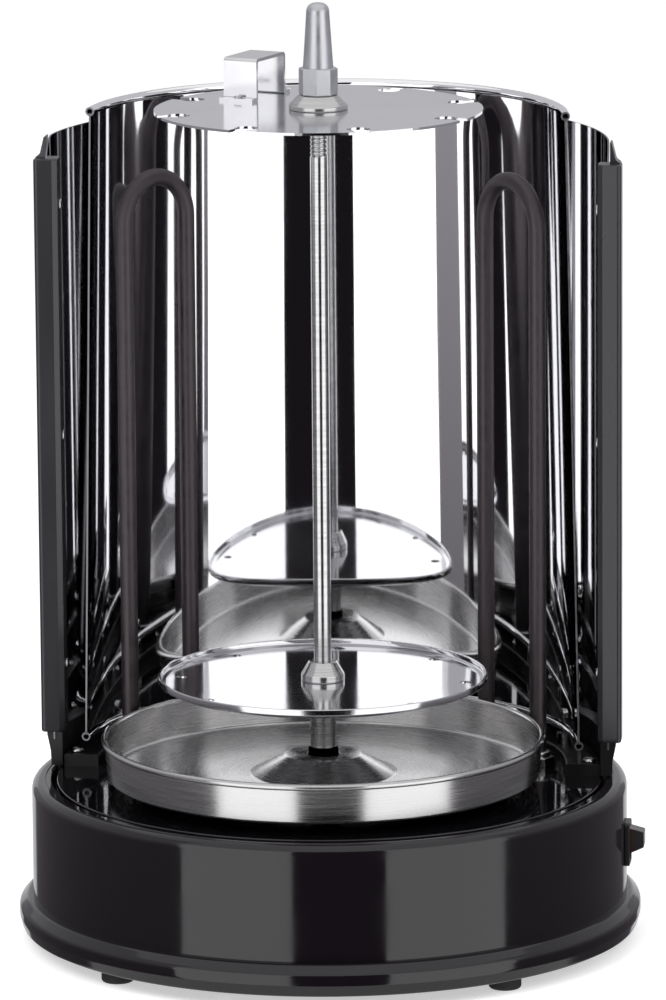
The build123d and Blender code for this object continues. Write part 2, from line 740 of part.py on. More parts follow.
def door_runner():
    """Foot rail of a door: a slotted head on a thin tongue that runs in the round track."""
    top_in = runner_inner
    top_out = runner_inner + runner_width
    head_z = door_foot_z
    tongue_in = track_inner + door_gap
    tongue_out = tongue_in + tongue_width
    tongue_z = deck_z - tongue_depth
    points = [(tongue_in, tongue_z), (tongue_out, tongue_z), (tongue_out, runner_foot_z),
              (top_out - 1.9, runner_foot_z), (top_out - 1.6, runner_foot_z + 7.0), (top_out, head_z - 2.0),
              (top_out, head_z), (top_in, head_z), (top_in, runner_foot_z), (tongue_in, runner_foot_z)]
    radii = [0.3, 0.3, 0, 0.5, 2.0, 1.0, 0.5, 0.5, 0.3, 0]
    front_land = math.degrees(2.5 / door_radius)
    rail = turned(points, radii, door_rear_angle, door_arc - front_land)
    inner = door_radius - door_sheet_thickness / 2 - 0.12
    outer = door_radius + door_sheet_thickness / 2 + 0.12
    slot_z = door_foot_z - door_slot_depth - 0.1
    slot = turned([(inner, slot_z), (outer, slot_z), (outer, head_z + 2), (inner, head_z + 2)],
                  None, door_rear_angle - 5, door_arc + 10)
    handle_room = block(100, 160, -20, handle_depth + 0.5, door_foot_z - 1.6 - 0.1, head_z + 5)
    return rail - slot - face_place * handle_room


# ---------------------------------------------------------------- drip pan
def drip_pan():
    """Spun steel pan: rolled rim, sloping wall, raised cone with the spit's hole."""
    t = pan_sheet
    points = [(cone_foot_radius, pan_z), (pan_foot_radius - 1.0, pan_z), (pan_foot_radius, pan_z + 1.0),
              (pan_rim_radius - pan_bead_radius, pan_rim_z - 1.0),
              (pan_rim_radius - pan_bead_radius - t, pan_rim_z - 1.0),
              (pan_foot_radius - t, pan_z + 2.0), (pan_foot_radius - t - 1.0, pan_z + t),
              (cone_foot_radius - 0.3, pan_z + t), (cone_top_radius, cone_z), (pan_hole_radius, cone_z),
              (pan_hole_radius, cone_z - t), (cone_top_radius - 0.4, cone_z - t)]
    pan = turned(points, [1.0, 0, 0, 0, 0, 0, 0, 1.0, 1.2, 0, 0, 0.6])
    rim = revolve(Plane.XZ * (Pos(pan_rim_radius - pan_bead_radius, pan_rim_z - pan_bead_radius)
                              * Circle(pan_bead_radius)), Axis.Z, 360)
    return at_spit(pan + rim)


# ---------------------------------------------------------------- spit
plate_hub_radius = 10.0
plate_hub_height = 9.0


def spit_shaft():
    """Steel shaft: square tang, thick lower part, thin rod through the meat, threaded end."""
    foot_z = socket_z + slide_gap
    shaft = rod(shaft_radius, foot_z, plate_z)
    shaft += rod(rod_radius, plate_z - 0.5, spike_z + 8.0)
    tang = tang_width / 2
    shaft += block(-tang, tang, -tang, tang, foot_z - tang_length, foot_z + 1.0)
    groove = turned([(rod_radius - 0.5, 0), (rod_radius + 2, -0.5), (rod_radius + 2, 0.5)])
    threads = int((spike_z - (disc_z - 20)) / 2.0)
    for i in range(threads):
        shaft -= Pos(0, 0, disc_z - 20 + i * 2.0) * groove
    return at_spit(shaft)


def meat_plate():
    """Rimmed plate that the meat stands on, with a hub and holes for small skewers."""
    t = plate_sheet
    rim = plate_rim_height
    points = [(rod_radius + seat_gap, plate_z), (plate_radius - 3, plate_z), (plate_radius, plate_z + 1.5),
              (plate_radius, plate_z + rim), (plate_radius - t, plate_z + rim),
              (plate_radius - t, plate_z + 2.2), (plate_radius - 3.4, plate_z + t),
              (rod_radius + seat_gap, plate_z + t)]
    plate = turned(points, [0, 1.0, 0.8, 0.5, 0.5, 0.5, 0.5, 0])
    for i in range(skewer_count):
        x, y, _ = at_angle(plate_radius - 10, i * 360 / skewer_count)
        plate -= rod(2.6, plate_z - 1, plate_z + 5, x, y)
    return at_spit(plate)


def plate_hub():
    """Turned boss that locks the plate on the rod."""
    z0 = plate_z + plate_sheet
    hub = turned([(rod_radius + seat_gap, z0), (plate_hub_radius, z0), (plate_hub_radius, z0 + 3),
                  (rod_radius + 2.5, z0 + plate_hub_height), (rod_radius + seat_gap, z0 + plate_hub_height)],
                 [0, 0.5, 1.0, 0.8, 0])
    return at_spit(hub)


def skewer_disc():
    """Polished disc with keyhole notches all round its edge for small skewers."""
    disc = rod(disc_radius, disc_z, disc_z + disc_sheet)
    for i in range(skewer_count):
        angle = (i + 0.5) * 360 / skewer_count
        slot = block(-notch_width / 2, notch_width / 2, disc_radius - notch_depth, disc_radius + 5,
                     disc_z - 1, disc_z + 3)
        slot += rod(notch_width * 0.75, disc_z - 1, disc_z + 3, 0, disc_radius - notch_depth)
        disc -= Rot(0, 0, -angle) * slot
    disc -= rod(rod_radius + seat_gap, disc_z - 1, disc_z + 3)
    return at_spit(disc)


bracket_turn = -20.0
bracket_place = (-34.0, 37.0)


def lift_bracket():
    """Bent strip on the disc: a bridge to lift the disc by."""
    t = bracket_sheet
    w = bracket_width / 2
    s = bracket_span / 2
    z0 = disc_z + disc_sheet
    top = z0 + bracket_height
    flange = 6.0
    outline = FilletPolyline((-s - flange, z0), (-s, z0), (-s, top), (s, top), (s, z0), (s + flange, z0),
                             (s + flange, z0 + t), (s + t, z0 + t), (s + t, top + t), (-s - t, top + t),
                             (-s - t, z0 + t), (-s - flange, z0 + t),
                             radius=[0, 0.8, 0.8, 0.8, 0.8, 0, 0, 0.3, 2.0, 2.0, 0.3, 0], close=True)
    strip = extrude(Plane.YZ * make_face(outline), w, both=True)
    strip = Pos(bracket_place[0], bracket_place[1], 0) * (Rot(0, 0, bracket_turn) * strip)
    return at_spit(strip)


def bracket_rivets():
    """Two rivets through the bracket's feet."""
    rivets = []
    reach = bracket_span / 2 + 3.6
    for way in (-1, 1):
        x, y = 0.0, way * reach
        z0 = disc_z + disc_sheet + bracket_sheet
        head = Pos(x, y, z0) * Cylinder(1.9, 0.9, align=(Align.CENTER, Align.CENTER, Align.MIN))
        rivets.append(fillet(head.edges().sort_by(Axis.Z)[-1], 0.6))
    group = Compound(children=rivets)
    return at_spit(Pos(bracket_place[0], bracket_place[1], 0) * (Rot(0, 0, bracket_turn) * group))


def disc_washer():
    """Domed washer above the disc."""
    z0 = washer_z
    dome = turned([(rod_radius + seat_gap, z0), (washer_radius, z0), (washer_radius, z0 + 2.0),
                   (collar_radius, z0 + washer_height), (rod_radius + seat_gap, z0 + washer_height)],
                  [0, 0.5, 1.2, 1.5, 0])
    return at_spit(dome)


def lock_nut():
    """Hexagon nut and flange under the disc."""
    nut = Pos(0, 0, disc_z - 7.5) * extrude(RegularPolygon(8.0, 6), 6.0)
    flange = rod(10.5, disc_z - 1.5, disc_z)
    return at_spit(nut + flange - rod(rod_radius + seat_gap, disc_z - 20, disc_z + 5))


def spike_handle():
    """Aluminium top handle: hexagon collar below a tapered round grip."""
    tip = spike_z + spike_length - collar_height
    collar = Pos(0, 0, collar_z) * extrude(RegularPolygon(collar_radius, 8), collar_height)
    grip = turned([(0, collar_z + 0.5), (spike_foot_radius, collar_z + 0.5), (spike_foot_radius, spike_z),
                   (spike_tip_radius, tip), (0, tip)], [0, 0, 0, 3.8, 0])
    handle = collar + grip
    return at_spit(handle - rod(rod_radius + seat_gap, collar_z - 1, spike_z + 8.3))


# ---------------------------------------------------------------- fasteners of the base
def bottom_screws():
    """Screws up through the foot ring and the cover into the wall's bosses."""
    top = cover_top_z + boss_screw_reach
    return Compound(children=[upward_screw(ring_foot_z, top, *at_angle(bottom_screw_pitch, a)[:2])
                              for a in bottom_screw_angles])


# ---------------------------------------------------------------- write every node
write(foot_ring(), "foot_ring")
for place, foot_angle in feet_angles.items():
    write(rubber_foot(foot_angle), f"foot_{place}")
write(bottom_cover(), "bottom_cover")
write(bottom_screws(), "bottom_screws")
write(base_wall(), "base_wall")
write(top_rim(), "top_rim")
write(deck_plate(), "deck_plate")
write(drive_bush(), "drive_bush")
write(motor_posts(), "motor_posts")
write(motor_bracket(), "motor_bracket")
write(motor_screws(), "motor_screws")
write(gearbox_case(), "gearbox_case")
write(motor_can(), "motor_can")
write(drive_shaft(), "drive_shaft")
write(drive_socket(), "drive_socket")
write(switch_bezel(), "switch_bezel")
write(rocker(), "rocker_key")
write(switch_terminals(), "switch_terminals")
write(cord_inlet(), "cord_inlet")
write(terminal_block(), "terminal_block")
write(thermal_cutout(), "thermal_cutout")
write(element(1), "right_element")
write(element(-1), "left_element")
write(element_glands(), "element_glands")
write(element_terminals(), "element_terminals")
write(reflector_carrier(), "reflector_carrier")
write(carrier_screws(), "carrier_screws")
write(reflector_spacers(), "reflector_spacers")
write(reflector_screws(), "reflector_screws")
write(reflector(), "reflector")
door_pieces = {"sheet": sheet_hole_cut(door_sheet()), "handle": door_handle(),
               "runner": door_runner(), "screws": door_screws()}
for piece, shape in door_pieces.items():
    write(shape, f"right_door_{piece}")
    write(mirror(shape, Plane.YZ), f"left_door_{piece}")
write(drip_pan(), "drip_pan")
write(spit_shaft(), "spit_shaft")
write(meat_plate(), "meat_plate")
write(plate_hub(), "plate_hub")
write(skewer_disc(), "skewer_disc")
write(lift_bracket(), "lift_bracket")
write(bracket_rivets(), "bracket_rivets")
write(disc_washer(), "disc_washer")
write(lock_nut(), "lock_nut")
write(spike_handle(), "spike_handle")
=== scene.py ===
# %% [markdown]
# # A table-top kebab grill
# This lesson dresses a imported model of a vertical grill. The model brings the sizes, the bodies
# that move and the hidden works. Everything that the eye meets is made again here as a smooth
# surface worked out with numpy, or keeps its solid and gets a finish of its own.

# %% load the frame
import json
import math
import bmesh
import bpy
import numpy as np
from mathutils import Matrix

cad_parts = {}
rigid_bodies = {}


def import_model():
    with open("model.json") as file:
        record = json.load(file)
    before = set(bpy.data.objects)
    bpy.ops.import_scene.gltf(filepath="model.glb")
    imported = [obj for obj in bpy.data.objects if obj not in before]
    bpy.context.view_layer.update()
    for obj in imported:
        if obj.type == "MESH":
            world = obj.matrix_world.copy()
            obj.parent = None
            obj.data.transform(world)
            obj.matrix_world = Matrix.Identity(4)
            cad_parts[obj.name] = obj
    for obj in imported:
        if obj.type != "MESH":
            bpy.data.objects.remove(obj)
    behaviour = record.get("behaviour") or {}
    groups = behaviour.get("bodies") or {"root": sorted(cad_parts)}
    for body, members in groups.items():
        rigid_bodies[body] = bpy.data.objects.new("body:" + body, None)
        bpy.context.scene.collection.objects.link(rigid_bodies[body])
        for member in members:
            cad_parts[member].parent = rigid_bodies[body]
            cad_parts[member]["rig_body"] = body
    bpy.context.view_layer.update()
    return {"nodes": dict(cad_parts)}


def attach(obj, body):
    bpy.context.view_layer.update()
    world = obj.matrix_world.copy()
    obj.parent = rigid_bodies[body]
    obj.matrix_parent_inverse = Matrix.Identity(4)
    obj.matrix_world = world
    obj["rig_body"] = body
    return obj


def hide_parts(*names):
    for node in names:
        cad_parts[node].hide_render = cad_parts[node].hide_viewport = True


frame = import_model()
MM = 0.001

# %% [markdown]
# The camera stands far away, as a product photographer's does, so that circles stay calm
# ellipses. Its place, its aim and its small lean were worked out from the ellipses of the foot
# ring, the pan, the top disc and the rolled edges of the reflector.

# %% camera
camera_distance = 3396.2
camera_height = 886.9
camera_azimuth = math.radians(6.89)
camera_lean = math.radians(-0.43)
aim = np.array([2.64, 0.32, 205.4])
lens_length = 269.667


def make_camera():
    """A camera whose three axes come from where it stands, what it aims at and how it leans."""
    place = np.array([camera_distance * math.sin(camera_azimuth),
                      -camera_distance * math.cos(camera_azimuth), camera_height])
    forward = (aim - place) / np.linalg.norm(aim - place)
    right = np.cross(forward, [0.0, 0.0, 1.0])
    right /= np.linalg.norm(right)
    up = np.cross(right, forward)
    cosine, sine = math.cos(camera_lean), math.sin(camera_lean)
    matrix = np.eye(4)
    matrix[:3, 0] = cosine * right + sine * up
    matrix[:3, 1] = cosine * up - sine * right
    matrix[:3, 2] = -forward
    matrix[:3, 3] = place * MM
    data = bpy.data.cameras.new("product_camera")
    data.sensor_width = 36.0
    data.lens = lens_length
    data.clip_end = 50.0
    made = bpy.data.objects.new("product_camera", data)
    bpy.context.scene.collection.objects.link(made)
    made.matrix_world = Matrix(matrix.tolist())
    bpy.context.scene.camera = made
    return made


camera = make_camera()
print("camera at", [round(c, 3) for c in camera.location])

# %% [markdown]
# ## Helpers for surfaces
# Most of the grill is turned, rolled or bent sheet, so a few helpers make nearly all of it. They
# take lengths in millimetres, as a drawing has them, and the mesh turns them into metres.

# %% an outline with round corners
def rounded(corners, radii, steps=6):
    """Closed outline with an arc at each corner P. With unit vectors a and b to the neighbours
    and half the angle between them, the arc's centre is P + (a + b) / |a + b| * r / sin(half) and
    it starts r / tan(half) from P. Its points swing evenly from one end direction to the other.
    One more point on each side of the arc keeps the flats flat when they are shaded smooth."""
    corner = np.array(corners, float)
    radius = np.maximum(np.array(radii, float), 1e-5)[:, None]
    before, after = np.roll(corner, 1, 0) - corner, np.roll(corner, -1, 0) - corner
    length_before = np.linalg.norm(before, axis=1, keepdims=True)
    length_after = np.linalg.norm(after, axis=1, keepdims=True)
    before, after = before / length_before, after / length_after
    half = np.arccos(np.clip(np.sum(before * after, axis=1, keepdims=True), -0.99999, 0.99999)) / 2
    reach = radius / np.tan(half)
    middle = before + after
    middle = corner + middle / np.linalg.norm(middle, axis=1, keepdims=True) * radius / np.sin(half)
    first = (corner + before * reach - middle) / radius
    last = (corner + after * reach - middle) / radius
    swing = (np.pi - 2 * half)[:, :, None]
    share = np.linspace(0, 1, steps + 1)[None, :, None]
    arc = (np.sin((1 - share) * swing) * first[:, None] + np.sin(share * swing) * last[:, None])
    arc = middle[:, None] + radius[:, :, None] * arc / np.sin(swing)
    free_before = (length_before - reach - np.roll(reach, 1, 0)) / 3
    free_after = (length_after - reach - np.roll(reach, -1, 0)) / 3
    lead_in = corner + before * (reach + np.clip(free_before, 0, 0.4))
    lead_out = corner + after * (reach + np.clip(free_after, 0, 0.4))
    points = np.concatenate([lead_in[:, None], arc, lead_out[:, None]], 1).reshape(-1, 2)
    return points[np.linalg.norm(points - np.roll(points, 1, 0), axis=1) > 2e-4]


def rounded_box(width, height, radius, steps=6):
    """Closed outline of a rectangle round its middle, with round corners."""
    w, h = width / 2, height / 2
    return rounded([(-w, -h), (w, -h), (w, h), (-w, h)], [radius] * 4, steps)


print("a rounded square has", len(rounded_box(10, 10, 2)), "points")

# %% grids, turned shapes, sheets and prisms
def distance_along(points):
    """Length along a row of points, from its first."""
    return np.concatenate([[0.0], np.cumsum(np.linalg.norm(np.diff(points, axis=0), axis=1))])


def squares(index):
    """The four corner numbers of each square in a grid of numbers."""
    corners = [index[:-1, :-1], index[1:, :-1], index[1:, 1:], index[:-1, 1:]]
    return np.stack(corners, -1).reshape(-1, 4)


def quads(rows, columns, wrap=False):
    """Corner numbers of the quads between neighbouring points of a grid, row by row."""
    index = np.arange(rows * columns).reshape(rows, columns)
    return squares(np.concatenate([index, index[:, :1]], 1) if wrap else index)


def turned(profile, start=0.0, arc=360.0, step=3.0, centre=0.0):
    """A shut (radius, height) profile turned about an upright axis: x = radius * sin(angle) and
    y = centre + radius * cos(angle), so angles count from the back and grow towards +X. The
    centre may differ from point to point. An open turn gets both ends filled."""
    profile = np.asarray(profile, float)
    centre = np.zeros(len(profile)) + centre
    profile, centre = np.vstack([profile, profile[:1]]), np.append(centre, centre[0])
    angle = np.radians(start + np.linspace(0.0, arc, max(int(round(arc / step)), 2) + 1))
    radius, height = profile[:, :1], profile[:, 1:]
    points = np.stack([radius * np.sin(angle), centre[:, None] + radius * np.cos(angle),
                       height + 0 * angle], -1)
    along = distance_along(profile)[:, None]
    texture = np.stack([along + 0 * angle, angle * np.max(radius) + 0 * along], -1)
    faces = quads(*points.shape[:2]).tolist()
    if arc < 359.9:
        first = np.arange(len(profile) - 1) * len(angle)
        faces += [first.tolist(), (first[::-1] + len(angle) - 1).tolist()]
    return points.reshape(-1, 3), texture.reshape(-1, 2), faces


def thickened(points, outward, faces, thickness):
    """Two shells: both sides of a sheet, half its thickness either way along its outward
    directions, and a strip along every edge that only one quad has."""
    points, outward, faces = points.reshape(-1, 3), outward.reshape(-1, 3), np.asarray(faces)
    edges = np.stack([faces, np.roll(faces, -1, 1)], -1).reshape(-1, 2)
    _, index, count = np.unique(np.sort(edges, 1), axis=0, return_index=True, return_counts=True)
    free = edges[index[count == 1]]
    number = len(points)
    strip = np.stack([free[:, 1], free[:, 0], free[:, 0] + number, free[:, 1] + number], 1)
    both = np.vstack([points + outward * thickness / 2, points - outward * thickness / 2])
    texture = np.zeros((2 * number, 2))
    return [(both, texture, np.vstack([faces, faces[:, ::-1] + number]).tolist()),
            (both, texture, strip.tolist())]


def tube(path, across, radius, sides=24):
    """A round bar along a path that lies in one plane. At each point the ring is
    path + radius * (cos(a) * n + sin(a) * b), with b the plane's own direction and
    n = b x tangent."""
    path = np.asarray(path, float)
    tangent = np.gradient(path, axis=0)
    tangent /= np.linalg.norm(tangent, axis=1, keepdims=True)
    across = np.asarray(across, float)
    normal = np.cross(across, tangent)
    angle = np.linspace(0, 2 * np.pi, sides + 1)
    ring = np.cos(angle)[None, :, None] * normal[:, None] + np.sin(angle)[None, :, None] * across
    points = path[:, None] + radius * ring
    along = distance_along(path)[:, None]
    texture = np.stack([along + 0 * angle, angle * radius + 0 * along], -1)
    faces = quads(*points.shape[:2]).tolist()
    first = np.arange(sides)
    faces += [first.tolist(), (first[::-1] + (len(path) - 1) * (sides + 1)).tolist()]
    return points.reshape(-1, 3), texture.reshape(-1, 2), faces


def lofted(outlines, heights):
    """Outlines of equally many points stacked at their heights, with both ends filled."""
    outlines = np.asarray(outlines, float)
    heights = np.asarray(heights, float)
    rows, count = outlines.shape[:2]
    raised = np.broadcast_to(heights[:, None, None], (rows, count, 1))
    points = np.concatenate([outlines, raised], -1)
    texture = np.concatenate([points[..., :1] + points[..., 1:2], points[..., 2:]], -1)
    faces = quads(rows, count, wrap=True).tolist()
    faces += [np.arange(count).tolist(), (np.arange(count)[::-1] + (rows - 1) * count).tolist()]
    return points.reshape(-1, 3), texture.reshape(-1, 2), faces


def moved(shell, shift=(0, 0, 0), axes=((1, 0, 0), (0, 1, 0), (0, 0, 1))):
    """The shell with its own three directions laid along the given axes, then shifted."""
    points, texture, faces = shell
    return points @ np.array(axes, float) + np.array(shift, float), texture, faces


def spun(shell, degrees):
    """The shell turned about the base's upright axis, positive from +X towards +Y."""
    a = math.radians(degrees)
    points, texture, faces = shell
    spin = np.array([[math.cos(a), math.sin(a), 0], [-math.sin(a), math.cos(a), 0], [0, 0, 1]])
    return points @ spin, texture, faces


def mirrored(shell):
    """The shell seen in a mirror on the YZ plane. Its faces are turned round when it is made."""
    points, texture, faces = shell
    return points * [-1, 1, 1], texture, faces


# %% [markdown]
# A piece joins its shells into one mesh. Doubled points on seams and poles are merged, and the
# faces are turned outwards after that. Edges sharper than the given angle stay crisp; the rest
# is shaded smooth, which is what makes a polished surface mirror without facets.

# %% pieces
def build_mesh(name, shells, sharp, cut):
    """One mesh in metres from (points, texture, faces) shells. Faces of the cut shells get the
    second material."""
    plain = sum(len(faces) for _, _, faces in shells)
    shells = [*shells, *cut]
    starts = np.cumsum([0] + [len(points) for points, _, _ in shells])
    points = np.vstack([points for points, _, _ in shells]) * MM
    texture = np.vstack([texture for _, texture, _ in shells]) * MM
    faces = [[corner + start for corner in face]
             for (_, _, some), start in zip(shells, starts.tolist()) for face in some]
    mesh = bpy.data.meshes.new(name)
    mesh.from_pydata(points, [], faces)
    corners = np.empty(len(mesh.loops), np.int32)
    mesh.loops.foreach_get("vertex_index", corners)
    layer = mesh.uv_layers.new(name="surface")
    layer.data.foreach_set("uv", texture[corners].astype(np.float32).ravel())
    mesh.polygons.foreach_set("material_index", (np.arange(len(faces)) >= plain).astype(np.int32))
    smooth(mesh, sharp)
    return mesh


def smooth(mesh, sharp):
    """Merge doubled points, turn the faces outwards and shade them smooth up to an angle."""
    work = bmesh.new()
    work.from_mesh(mesh)
    bmesh.ops.remove_doubles(work, verts=work.verts, dist=1e-6)
    bmesh.ops.dissolve_degenerate(work, edges=work.edges, dist=1e-7)
    bmesh.ops.recalc_face_normals(work, faces=work.faces)
    work.to_mesh(mesh)
    work.free()
    mesh.shade_smooth()
    mesh.set_sharp_from_angle(angle=math.radians(sharp))


def piece(name, shells, material, body, nodes, sharp=32.0, bevel=0.0, cut=(),
          cut_material=None):
    """A finished piece: its mesh, its material, the body it rides on and the nodes it stands for.
    Shells under cut are sheared or sawn edges, with a material of their own."""
    made = bpy.data.objects.new(name, build_mesh(name, shells, sharp, cut))
    settle(made, material, body, nodes, bevel)
    if cut_material:
        made.data.materials.append(cut_material)


def settle(made, material, body, nodes, bevel=0.0):
    """Link a piece, give it its material and small edge rounding, and seat it in the frame."""
    bpy.context.scene.collection.objects.link(made)
    made.data.materials.append(material)
    if bevel:
        edge = made.modifiers.new("edge", "BEVEL")
        edge.width = bevel * MM
        edge.segments = 3
        edge.limit_method = "ANGLE"
        edge.angle_limit = math.radians(40)
        edge.harden_normals = True
    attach(made, body)
    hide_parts(*nodes)
    print(made.name, "faces", len(made.data.polygons))


def smooth_copy(node, material, body):
    """A copy of a node's own mesh with its loose triangles merged, for small pieces whose
    solid already has every cut and hole."""
    mesh = frame["nodes"][node].data.copy()
    mesh.materials.clear()
    mesh.name = "merged_" + node
    smooth(mesh, 25.0)
    settle(bpy.data.objects.new("merged_" + node, mesh), material, body, [node])


# %% [markdown]
# ## Materials
# One small function adds a node with its settings, values and links. Colours are written as the
# hex values a screen shows, and one function turns them to linear light.

# %% material helpers
def linear(hex_colour):
    """Linear red, green and blue of an sRGB hex colour, with an alpha of 1."""
    value = np.array([int(hex_colour[i:i + 2], 16) for i in (1, 3, 5)]) / 255
    value = np.where(value <= 0.04045, value / 12.92, ((value + 0.055) / 1.055) ** 2.4)
    return (*[float(v) for v in value], 1.0)


def add_node(tree, kind, values=None, links=None, **settings):
    """A node with its own settings, its socket values and the outputs that feed its inputs."""
    made = tree.nodes.new(kind)
    for key, value in settings.items():
        setattr(made, key, value)
    for key, value in (values or {}).items():
        made.inputs[key].default_value = value
    for key, source in (links or {}).items():
        tree.links.new(source, made.inputs[key])
    return made


def new_material(name, colour, roughness, metallic=0.0, **values):
    """A material with one shader, whose even values are set on the shader itself."""
    material = bpy.data.materials.new(name)
    material.use_nodes = True
    tree = material.node_tree
    shader = tree.nodes["Principled BSDF"]
    shader.inputs["Base Color"].default_value = linear(colour)
    shader.inputs["Roughness"].default_value = roughness
    shader.inputs["Metallic"].default_value = metallic
    for key, value in values.items():
        shader.inputs[key.replace("_", " ")].default_value = value
    return material, tree, shader


def pattern(tree, size, source="Object", stretch=(1, 1, 1), detail=2.0):
    """A noise whose lumps are about size millimetres across, stretched along the axes."""
    place = add_node(tree, "ShaderNodeTexCoord")
    scale = [1.0 / s for s in stretch]
    mapping = add_node(tree, "ShaderNodeMapping", {"Scale": scale},
                       {"Vector": place.outputs[source]})
    return add_node(tree, "ShaderNodeTexNoise", {"Scale": 1000.0 / size, "Detail": detail},
                    {"Vector": mapping.outputs["Vector"]})


# Nearly all of a noise lies between these two values.
noise_low, noise_high = 0.3, 0.7


def vary_roughness(tree, shader, noise, low, high):
    """The noise moves the roughness between two values."""
    spread = add_node(tree, "ShaderNodeMapRange",
                      {"From Min": noise_low, "From Max": noise_high, "To Min": low,
                       "To Max": high}, {"Value": noise.outputs["Fac"]})
    tree.links.new(spread.outputs["Result"], shader.inputs["Roughness"])


def vary_colour(tree, shader, noise, *colours):
    """The noise moves the colour from one hex colour to another."""
    ramp = add_node(tree, "ShaderNodeValToRGB", links={"Fac": noise.outputs["Fac"]})
    for stop, place, colour in zip(ramp.color_ramp.elements, (noise_low, noise_high), colours):
        stop.position, stop.color = place, linear(colour)
    tree.links.new(ramp.outputs["Color"], shader.inputs["Base Color"])


def relief(tree, shader, *layers):
    """Bumps one on another: each layer is a noise and its depth in millimetres."""
    normal = None
    for noise, depth in layers:
        links = {"Height": noise.outputs["Fac"]}
        if normal:
            links["Normal"] = normal.outputs["Normal"]
        normal = add_node(tree, "ShaderNodeBump", {"Distance": depth * MM}, links)
    tree.links.new(normal.outputs["Normal"], shader.inputs["Normal"])


print("linear of a mid grey", [round(v, 3) for v in linear("#808080")])

# %% [markdown]
# The housing is injection-moulded ABS from a polished tool. Its surface is nearly a mirror, but
# the plastic shrinks a little as it cools, so reflections waver very gently over centimetres.
# The deck is enamelled steel: blacker, harder and with the fine orange peel of a sprayed coat.

# %% black housing, enamel and coated steel
def gloss_moulded_abs():
    """Deep black, mirror-like, with slow sink waves 30 mm long and faint wiping marks."""
    material, tree, shader = new_material("gloss_moulded_abs", "#151116", 0.08, IOR=1.5)
    wiped = pattern(tree, 14.0, stretch=(3, 3, 1), detail=4.0)
    vary_roughness(tree, shader, wiped, 0.06, 0.12)
    relief(tree, shader, (pattern(tree, 30.0), 0.05), (pattern(tree, 1.6), 0.0004))
    return material


def gloss_black_enamel():
    """Glass-hard black coat with the orange peel of spraying, lumps 3 mm across."""
    material, tree, shader = new_material("gloss_black_enamel", "#0c0b0e", 0.06, IOR=1.52)
    vary_roughness(tree, shader, pattern(tree, 22.0), 0.04, 0.09)
    relief(tree, shader, (pattern(tree, 3.0), 0.0012))
    return material


def black_coated_steel():
    """Semi-gloss baked paint on sheet steel, slightly pebbled at 1.2 mm."""
    material, tree, shader = new_material("black_coated_steel", "#0b0a0c", 0.38, IOR=1.4)
    vary_roughness(tree, shader, pattern(tree, 9.0), 0.32, 0.45)
    relief(tree, shader, (pattern(tree, 1.2), 0.004))
    return material


def textured_grip_plastic():
    """Heat-proof phenolic moulding with a fine spark-eroded grain, 0.9 mm pits, satin sheen."""
    material, tree, shader = new_material("textured_grip_plastic", "#232125", 0.3, IOR=1.53)
    worn = pattern(tree, 25.0, stretch=(1, 1, 4), detail=3.0)
    vary_colour(tree, shader, worn, "#212024", "#2a282d")
    vary_roughness(tree, shader, worn, 0.24, 0.32)
    relief(tree, shader, (pattern(tree, 0.9, detail=3.0), 0.006))
    return material


def moulded_rubber():
    """Soft black rubber: matt, a little grey with bloom, dust held in a 1 mm grain."""
    material, tree, shader = new_material("moulded_rubber", "#161616", 0.75, IOR=1.52)
    vary_colour(tree, shader, pattern(tree, 4.0), "#121212", "#1e1d1c")
    relief(tree, shader, (pattern(tree, 1.0), 0.02))
    return material


abs_black, enamel_black = gloss_moulded_abs(), gloss_black_enamel()
coat_black, grip_black = black_coated_steel(), textured_grip_plastic()
rubber_black = moulded_rubber()
print("dark finishes", abs_black.name, enamel_black.name, coat_black.name)

# %% [markdown]
# The metals differ by how they were worked. The reflector and the doors are bright-annealed
# stainless strip, which mirrors but carries long, faint ripples from the rolls. The pan was spun
# and brushed on a lathe, so its grain runs round and light spreads across it in radial fans; the
# shader's anisotropy does that, with its long way laid along the profile.

# %% polished and brushed metals
def bright_annealed_steel():
    """Mirror strip with upright rolling ripples 18 mm apart and a faint haze of wiping."""
    material, tree, shader = new_material("bright_annealed_steel", "#ececee", 0.03, 1.0)
    haze = pattern(tree, 20.0, stretch=(1, 1, 6), detail=4.0)
    vary_roughness(tree, shader, haze, 0.02, 0.05)
    ripple = pattern(tree, 18.0, stretch=(1, 1, 12), detail=1.0)
    relief(tree, shader, (ripple, 0.035))
    return material


def lathe_brushed(name, first, second, rough, spread, grain):
    """Steel worked on a lathe: grooves run round, so the light fans out along the profile."""
    material, tree, shader = new_material(name, first, rough, 1.0, Anisotropic=spread)
    lines = pattern(tree, grain, "UV", stretch=(1, 60, 1), detail=3.0)
    vary_colour(tree, shader, lines, first, second)
    vary_roughness(tree, shader, lines, rough * 0.8, rough * 1.25)
    tangent = add_node(tree, "ShaderNodeTangent", direction_type="UV_MAP", uv_map="surface")
    tree.links.new(tangent.outputs["Tangent"], shader.inputs["Tangent"])
    relief(tree, shader, (lines, 0.0005))
    return material


def satin_metal(name, first, second, rough, size, depth):
    """Cast, plated or blasted metal with cloudy tone and a fine tooth."""
    material, tree, shader = new_material(name, first, rough, 1.0)
    cloud = pattern(tree, size * 8, detail=4.0)
    vary_colour(tree, shader, cloud, first, second)
    vary_roughness(tree, shader, cloud, rough * 0.85, rough * 1.2)
    relief(tree, shader, (pattern(tree, size, detail=3.0), depth))
    return material


mirror_steel = bright_annealed_steel()
# Shears leave a torn, darker edge on the 0.8 mm strip.
sheared_steel = satin_metal("sheared_steel_edge", "#6f6f72", "#85858a", 0.4, 0.5, 0.01)
